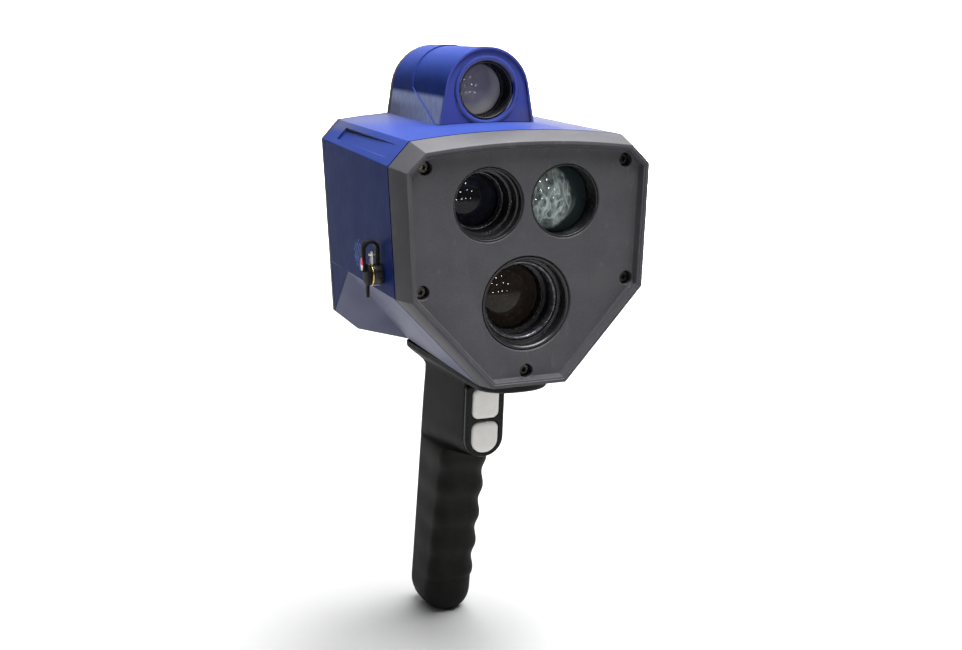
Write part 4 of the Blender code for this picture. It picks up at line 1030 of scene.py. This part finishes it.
def build_sight():
    """The sight's threaded tube, elements and ribbed eyecup."""
    tube = [(16.8, 66.0), (16.8, 118.0), (12.8, 124.0), (12.8, 157.5), (11.2, 157.5), (11.2, 124.0)]
    tube += [(14.0, 116.0), (14.0, 86.0), (15.6, 86.0), (15.6, 77.8)]
    tube += thread(15.6, 77.0, 67.0, pitch=1.25, depth=0.55)
    tube += [(15.6, 66.6), (16.0, 66.0)]
    build_barrel("sight_tube", (0.0, SIGHT_Z), tube)
    build_lens("sight_front_glass", "sight_objective", "sight_glass", (2.4, 1.0))
    build_lens("sight_rear_glass", "sight_eye_lens", "clear_glass", (1.0, 1.2))
    cup = [(11.6, 159.0), (11.6, 165.6), (12.2, 166.4), (14.0, 166.5), (14.8, 166.0)]
    for y in (163.6, 161.2, 158.8):
        cup += [(15.5, y + 0.9), (15.6, y + 0.2), (15.1, y - 0.6), (15.1, y - 1.0)]
    cup += [(15.6, 156.6), (15.4, 156.0), (13.1, 156.0), (13.1, 159.0)]
    eyecup = turned_object("eyecup_rubber", cup, (0.0, 0.0, SIGHT_Z))
    settle(eyecup, "rubber", ["eyecup"], sharp=50.0)


# ---------------------------------------------------------------- grip


def smooth_rows(rows, levels):
    """Rows at new levels, through the given ones with a curve that never overshoots."""
    rows = sorted(rows)
    places = [row[0] for row in rows]
    made = []
    for level in levels:
        k = max(i for i in range(len(rows) - 1) if places[i] <= level or i == 0)
        low, high = rows[k], rows[k + 1]
        width = high[0] - low[0]
        t = min(max((level - low[0]) / width, 0.0), 1.0)
        values = [level]
        for column in range(1, len(low)):
            slope = (high[column] - low[column]) / width
            before = (low[column] - rows[k - 1][column]) / (low[0] - rows[k - 1][0]) if k else slope
            after = slope
            if k + 2 < len(rows):
                after = (rows[k + 2][column] - high[column]) / (rows[k + 2][0] - high[0])
            start = 2.0 * before * slope / (before + slope) if before * slope > 0 else 0.0
            end = 2.0 * slope * after / (slope + after) if slope * after > 0 else 0.0
            values.append(
                low[column] * (1 + 2 * t) * (1 - t) ** 2 + high[column] * t * t * (3 - 2 * t)
                + width * (start * t * (1 - t) ** 2 + end * t * t * (t - 1))
            )
        made.append(values)
    return made


def grip_section(z, front_half, rear_half, front_y, rear_y, front_radius, rear_radius, steps=9):
    """A level section of the grip: a four-sided outline with round corners, seen from above."""
    corners = (
        (rear_half - rear_radius, rear_y - rear_radius, rear_radius, 0.0),
        (-rear_half + rear_radius, rear_y - rear_radius, rear_radius, 90.0),
        (-front_half + front_radius, front_y + front_radius, front_radius, 180.0),
        (front_half - front_radius, front_y + front_radius, front_radius, 270.0),
    )
    return [(x, y, z) for x, y in quarter_turns(corners, steps)]


def grip_rear_y(z):
    return 139.2 + GRIP_LEAN_REAR * (-43.2 - z)


def scallop(z):
    return sin(pi * (FIRST_RIDGE_Z - z) / RIDGE_PITCH) ** 2


def grip_rows():
    """Control rows from the flange under the body down to the rounded end."""
    wide = GRIP_HALF_WIDTH
    rows = [
        (-2.6, 21.5, 22.5, 8.0, 149.5, 19.0, 6.0),
        (-5.4, 21.5, 22.5, 8.8, 149.5, 18.5, 6.0),
        (-7.8, 19.8, 21.0, 15.0, 147.0, 17.0, 7.0),
        (-10.4, 16.8, 18.5, 30.0, 141.5, 13.0, 9.0),
        (-12.6, 13.4, wide, 62.0, 136.5, 5.0, 10.0),
    ]
    seat = POD_THICKNESS + 0.3
    pod = POD_HALF_WIDTH
    for z, half in ((-14.6, pod), (-34.0, pod), (-50.0, pod), (-55.5, 11.6), (-59.5, 8.6), (-62.3, 5.4)):
        face = POD_ORIGIN[1] + tan(POD_LEAN) * (POD_ORIGIN[2] - z) + seat
        rows.append((z, half, wide, face, grip_rear_y(z), 2.5 if z > -52.0 else 2.0, 11.0))
    rows.append((-64.8, 14.0, wide, 92.0, grip_rear_y(-64.8), 9.0, 11.5))
    step = RIDGE_PITCH / 8.0
    for z in (FIRST_RIDGE_Z + step * i for i in range(9, -27, -1)):
        front = FIRST_RIDGE_Y + GRIP_LEAN_FRONT * (FIRST_RIDGE_Z - z) + SCALLOP_DEPTH * scallop(z)
        rows.append((z, wide - 0.7 - 1.1 * scallop(z), wide, front, grip_rear_y(z), 9.5, 11.5))
    last = -173.0
    ends = [(last, 0.99, 0.0), (-179.0, 0.93, 2.6), (-183.6, 0.79, 7.4), (-186.7, 0.52, 14.5)]
    for z, share, pull in ends + [(GRIP_BOTTOM_Z, 0.2, 20.0)]:
        front = FIRST_RIDGE_Y + GRIP_LEAN_FRONT * (FIRST_RIDGE_Z - last) + pull * 0.36
        rear = grip_rear_y(last) - pull
        half = wide * share
        radius = min(11.5, half * 0.8, (rear - front) * 0.4)
        rows.append((z, half * 0.97, half, front, rear, radius, radius))
    return rows


def build_grip():
    """The soft-touch grip: flange, button block, ridges that wrap the front, rounded end."""
    rows = grip_rows()
    levels = [-2.6, -2.75] + [-2.9 - 0.42 * i for i in range(30)] + [-15.9 - 1.1 * i for i in range(156)]
    levels = [z for z in levels if z > GRIP_BOTTOM_Z + 0.5] + [GRIP_BOTTOM_Z + 0.3, GRIP_BOTTOM_Z]
    grip = loft_object("grip_shell", [grip_section(*row) for row in smooth_rows(rows, levels)])
    rows = ((0.0, 84.0, 128.0), (-60.0, 101.0, 137.5), (-166.0, 130.0, 157.0))
    cavity = [grip_section(z, 10.5, 10.5, front, rear, 4.0, 4.0) for z, front, rear in rows]
    pocket = rounded_outline(10.6, -23.0, 22.6, 10.3, 3.0)
    bore = ((0.0, 10.0), (3.0, 10.0), (3.0, 34.0), (0.0, 34.0))
    combine(
        grip,
        (CUT, loft_object("battery_cavity", cavity)),
        (CUT, slab_object("pocket", [(y, pocket) for y in (POD_THICKNESS - 1.0, 14.0)], POD)),
        (CUT, turned_object("wire_way", bore, (0.0, 0.0, 8.0), segments=24, frame=POD)),
    )
    settle(grip, "soft_touch_black", ["grip_body"], sharp=40.0)


def button_outline(upper, inset=0.0):
    half = BUTTON_WIDTH / 2.0
    if upper:
        return inset_outline(rounded_outline(half, 1.2, 21.0, 4.2, 4.2), inset)
    return inset_outline(rounded_outline(half, -21.4, -1.2, 8.4, 4.6), inset)


def build_pod():
    """The glossy plate with rolled edges and its two domed buttons."""
    plate = rounded_outline(POD_HALF_WIDTH, POD_BOTTOM, POD_TOP, 12.4, 2.0, steps=14)
    levels = []
    for i in range(7):
        angle = pi / 2.0 * i / 6
        y, inset = (POD_ROLL * (1.0 - turn) for turn in (cos(angle), sin(angle)))
        levels.append((y, inset_outline(plate, inset)))
    levels.append((POD_THICKNESS, plate))
    bezel = slab_object("button_plate", levels, POD)
    tools = []
    for upper in (True, False):
        cutter = [(-1.0, -0.9), (0.0, -0.75), (0.5, -BUTTON_GAP), (POD_THICKNESS + 1.0, -BUTTON_GAP)]
        cutter = [(y, button_outline(upper, inset)) for y, inset in cutter]
        tools.append((CUT, slab_object("button_opening", cutter, POD)))
    combine(bezel, *tools)
    settle(bezel, "black_plastic", ["button_bezel"], sharp=40.0)
    profile = (
        (-1.3, 3.4), (-1.27, 2.6), (-1.18, 1.8), (-1.0, 1.15), (-0.7, 0.6), (-0.3, 0.2), (0.2, 0.0), (3.3, 0.0),
        (3.3, -1.2), (4.8, -1.2), (4.8, 4.0), (6.4, 4.0),
    )
    for upper, name in ((True, "upper_button"), (False, "lower_button")):
        levels = [(y, button_outline(upper, inset)) for y, inset in profile]
        button = slab_object(f"{name}_cap", levels, POD)
        settle(button, "button_white", [name], name, sharp=50.0)


# ---------------------------------------------------------------- data socket


def build_socket():
    """The round socket, its brass ring and the rubber cap with its tab."""
    body = [(3.6, -6.6), (4.6, -6.6), (4.6, -5.2), (SOCKET_RADIUS, -5.2), (SOCKET_RADIUS, 0.0)]
    body += [(5.0, 0.0), (5.0, 12.0), (3.6, 12.0)]
    body = turned_object("socket_barrel", soften(body, 0.35, limit=50.0), SOCKET, "left", 64)
    settle(body, "black_anodised", ["socket_body"], sharp=40.0)
    ring = soften([(4.9, -6.4), (6.35, -6.4), (6.35, -5.5), (4.9, -5.5)], 0.3, limit=50.0)
    ring = turned_object("socket_brass_ring", ring, SOCKET, "left", 64)
    settle(ring, "brass", ["socket_ring"], sharp=50.0)
    cap = [(0.0, -9.0), (5.2, -9.0), (6.0, -8.7), (6.3, -8.2), (6.3, -7.2), (6.0, -6.9), (3.2, -6.9)]
    cap += [(3.2, -1.4), (2.8, -1.0), (0.0, -1.0)]
    cap = turned_object("dust_cap_rubber", cap, SOCKET, "left", 64)
    x, y, z = SOCKET
    outline = rounded_outline(1.9, -13.0, -4.0, 1.4, 0.6, steps=6)
    rings = []
    for depth, inset in ((-8.6, 0.4), (-8.3, 0.1), (-7.4, 0.1), (-7.1, 0.4)):
        rings.append([(x + depth, y + py, z + pz) for py, pz in inset_outline(outline, inset)])
    combine(cap, (JOIN, loft_object("tab", rings)))
    settle(cap, "rubber", ["dust_cap"], "dust_cap", sharp=50.0)


def build_spot():
    """A plain oval mark on the outer leg of the strap."""
    x, y, z = SOCKET
    angles = [2.0 * pi * i / 24 for i in range(24)]
    rings = []
    for depth, share in ((-11.1, 1.0), (-11.35, 0.9), (-11.45, 0.6)):
        wide, high = 1.9 * share, 4.1 * share
        oval = [(y - 0.3 + wide * cos(angle), z + 6.6 + high * sin(angle)) for angle in angles]
        rings.append([(x + depth, *point) for point in oval])
    settle(loft_object("cap_spot", rings), "spot_red", [], "dust_cap", sharp=60.0)


def build_socket_latch():
    """A small steel post with a crosspiece on the socket's top, inside the strap's loop."""
    x, y, z = SOCKET
    post = [(0.0, -13.6), (0.8, -13.3), (0.95, -12.8), (0.95, -10.0), (1.2, -8.6), (1.2, -6.0), (0.0, -6.0)]
    post = turned_object("socket_latch", post, (x - 5.0, y, z), "up", 24)
    bar = ((0.0, -2.0), (0.75, -1.8), (0.75, 1.8), (0.0, 2.0))
    combine(post, (JOIN, turned_object("crosspiece", bar, (x - 5.0, y, z + 11.6), "left", 20)))
    settle(post, "bright_steel", [], sharp=40.0)


def build_tether():
    """The strap: a flat rubber band that loops from the socket's top to the cap's face."""
    inner_x, outer_x, foot_z, peak_z, end_z = -76.7, -85.0, 69.3, 77.6, 65.0
    middle, half = (inner_x + outer_x) / 2.0, (inner_x - outer_x) / 2.0
    route = [(inner_x, foot_z + (peak_z - foot_z) * i / 6) for i in range(6)]
    for i in range(25):
        angle = pi * i / 24.0
        route.append((middle + half * cos(angle), peak_z + half * sin(angle)))
    route += [(outer_x, peak_z - (peak_z - end_z) * i / 8) for i in range(1, 9)]
    section = rounded_outline(2.4, -0.95, 0.95, 0.7, 0.7, steps=3)
    rings = []
    for i, (x, z) in enumerate(route):
        before, after = route[max(i - 1, 0)], route[min(i + 1, len(route) - 1)]
        along = Vector((after[0] - before[0], 0.0, after[1] - before[1])).normalized()
        middle, across = Vector((x, SOCKET[1], z)), Vector((-along.z, 0.0, along.x))
        rings.append([middle + across * thick + Vector((0.0, wide, 0.0)) for wide, thick in section])
    strap = loft_object("tether_strap", rings)
    shade(strap, "rubber", 60.0)
    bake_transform(strap)
    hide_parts("cap_tether")


# ---------------------------------------------------------------- CAD nodes that stay


def dress_cad_nodes():
    """Finishes for every node, and worn-in edges on those that show."""
    for row in frame["record"]["subparts"]:
        node = frame["nodes"][row["node"]]
        material = FINISHES[row["material_slot"]]
        if not node.material_slots:
            node.data.materials.append(material)
        for slot in node.material_slots:
            slot.material = material
    edged = {"rear_cover": 0.4, "display_window": 0.25, "power_key": 0.4}
    edged.update({f"menu_key_{i}": 0.5 for i in range(1, 5)})
    edged.update({f"rear_screw_{i}": 0.2 for i in range(1, 5)})
    for name, width in edged.items():
        node = frame["nodes"][name]
        weld = node.modifiers.new("weld", "WELD")
        weld.merge_threshold = 0.00001
        bevel = node.modifiers.new("edges", "BEVEL")
        bevel.width = width * MM
        bevel.segments = 2
        bevel.limit_method = "ANGLE"
        bevel.angle_limit = radians(35.0)
        node.modifiers.new("normals", "WEIGHTED_NORMAL")


# ---------------------------------------------------------------- studio


def add_floor():
    """A plain pale floor that sweeps up behind the object."""
    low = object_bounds()[0].z
    back, radius, height, half = 4.0, 1.5, 4.5, 7.0
    section = [(-6.0, low), (back, low)]
    for i in range(1, 13):
        angle = pi / 2.0 * i / 12
        section.append((back + radius * sin(angle), low + radius * (1.0 - cos(angle))))
    section.append((back + radius, low + height))
    bm = bmesh.new()
    rows = [[bm.verts.new((x, y, z)) for x in (-half, half)] for y, z in section]
    for first, second in zip(rows, rows[1:]):
        bm.faces.new((first[0], first[1], second[1], second[0]))
    floor = make("floor", bm, to_row=Matrix())
    floor.data.shade_smooth()
    paper = Finish("floor_finish", {"Base Color": FLOOR_COLOUR, "Roughness": 0.95, "Specular IOR Level": 0.05})
    floor.data.materials.append(paper.material)


def add_area(name, place, target, size, power, spread=180.0):
    light = bpy.data.lights.new(name, "AREA")
    light.spread = radians(spread)
    light.shape = "RECTANGLE"
    light.size, light.size_y = size
    light.energy = power
    lamp = add_object(name, light)
    lamp.location = place
    lamp.rotation_euler = (Vector(target) - Vector(place)).to_track_quat("-Z", "Y").to_euler()


def add_lights():
    """A broad overhead key, two lamps for the backdrop and small ones that sparkle in the glass."""
    world = bpy.data.worlds.new("studio")
    world.use_nodes = True
    background = world.node_tree.nodes["Background"]
    background.inputs["Color"].default_value = (0.93, 0.96, 1.0, 1.0)
    background.inputs["Strength"].default_value = 0.15
    bpy.context.scene.world = world
    add_area("key", (0.3, -0.2, 1.8), (0.05, 0.05, 0.1), (1.6, 1.6), 165.0)
    add_area("back_near", (1.1, 2.2, 2.2), (1.1, 2.2, 0.0), (1.6, 1.6), 150.0, spread=60.0)
    add_area("back_far", (2.4, 3.7, 2.6), (2.4, 3.9, 0.0), (5.0, 2.2), 700.0, spread=130.0)
    random.seed(7)
    for i in range(14):
        light = bpy.data.lights.new(f"lamp_{i}", "POINT")
        light.energy = 0.9
        light.shadow_soft_size = 0.012
        across, up = (i % 5) * 0.19 - 0.28, (i // 5) * 0.24
        across, up = across + random.uniform(-0.05, 0.05), 0.1 + up + random.uniform(-0.04, 0.04)
        add_object(f"lamp_{i}", light).location = (across, LAMP_Y, up)


def add_camera():
    data = bpy.data.cameras.new("camera")
    data.lens = CAMERA_LENS
    data.sensor_width = 36.0
    data.sensor_fit = "HORIZONTAL"
    data.clip_start = 0.01
    data.clip_end = 50.0
    level = Vector((sin(CAMERA_AZIMUTH), cos(CAMERA_AZIMUTH), 0.0))
    forward = level * cos(CAMERA_ELEVATION) - Vector((0.0, 0.0, sin(CAMERA_ELEVATION)))
    right = Vector((level.y, -level.x, 0.0))
    up = right.cross(forward)
    turned_right = right * cos(CAMERA_ROLL) + up * sin(CAMERA_ROLL)
    turned_up = up * cos(CAMERA_ROLL) - right * sin(CAMERA_ROLL)
    turn = Matrix((turned_right, turned_up, -forward)).transposed().to_4x4()
    camera = add_object("camera", data)
    camera.matrix_world = Matrix.Translation(CAMERA_PLACE) @ turn
    bpy.context.scene.camera = camera
    bpy.context.scene.view_settings.view_transform = "Standard"


FINISHES = make_finishes()
dress_cad_nodes()
build_front_cover()
build_cover_screws()
build_housing()
build_hood()
build_optics()
build_sight()
build_grip()
build_pod()
build_socket()
build_spot()
build_socket_latch()
build_tether()
add_floor()
add_lights()
add_camera()
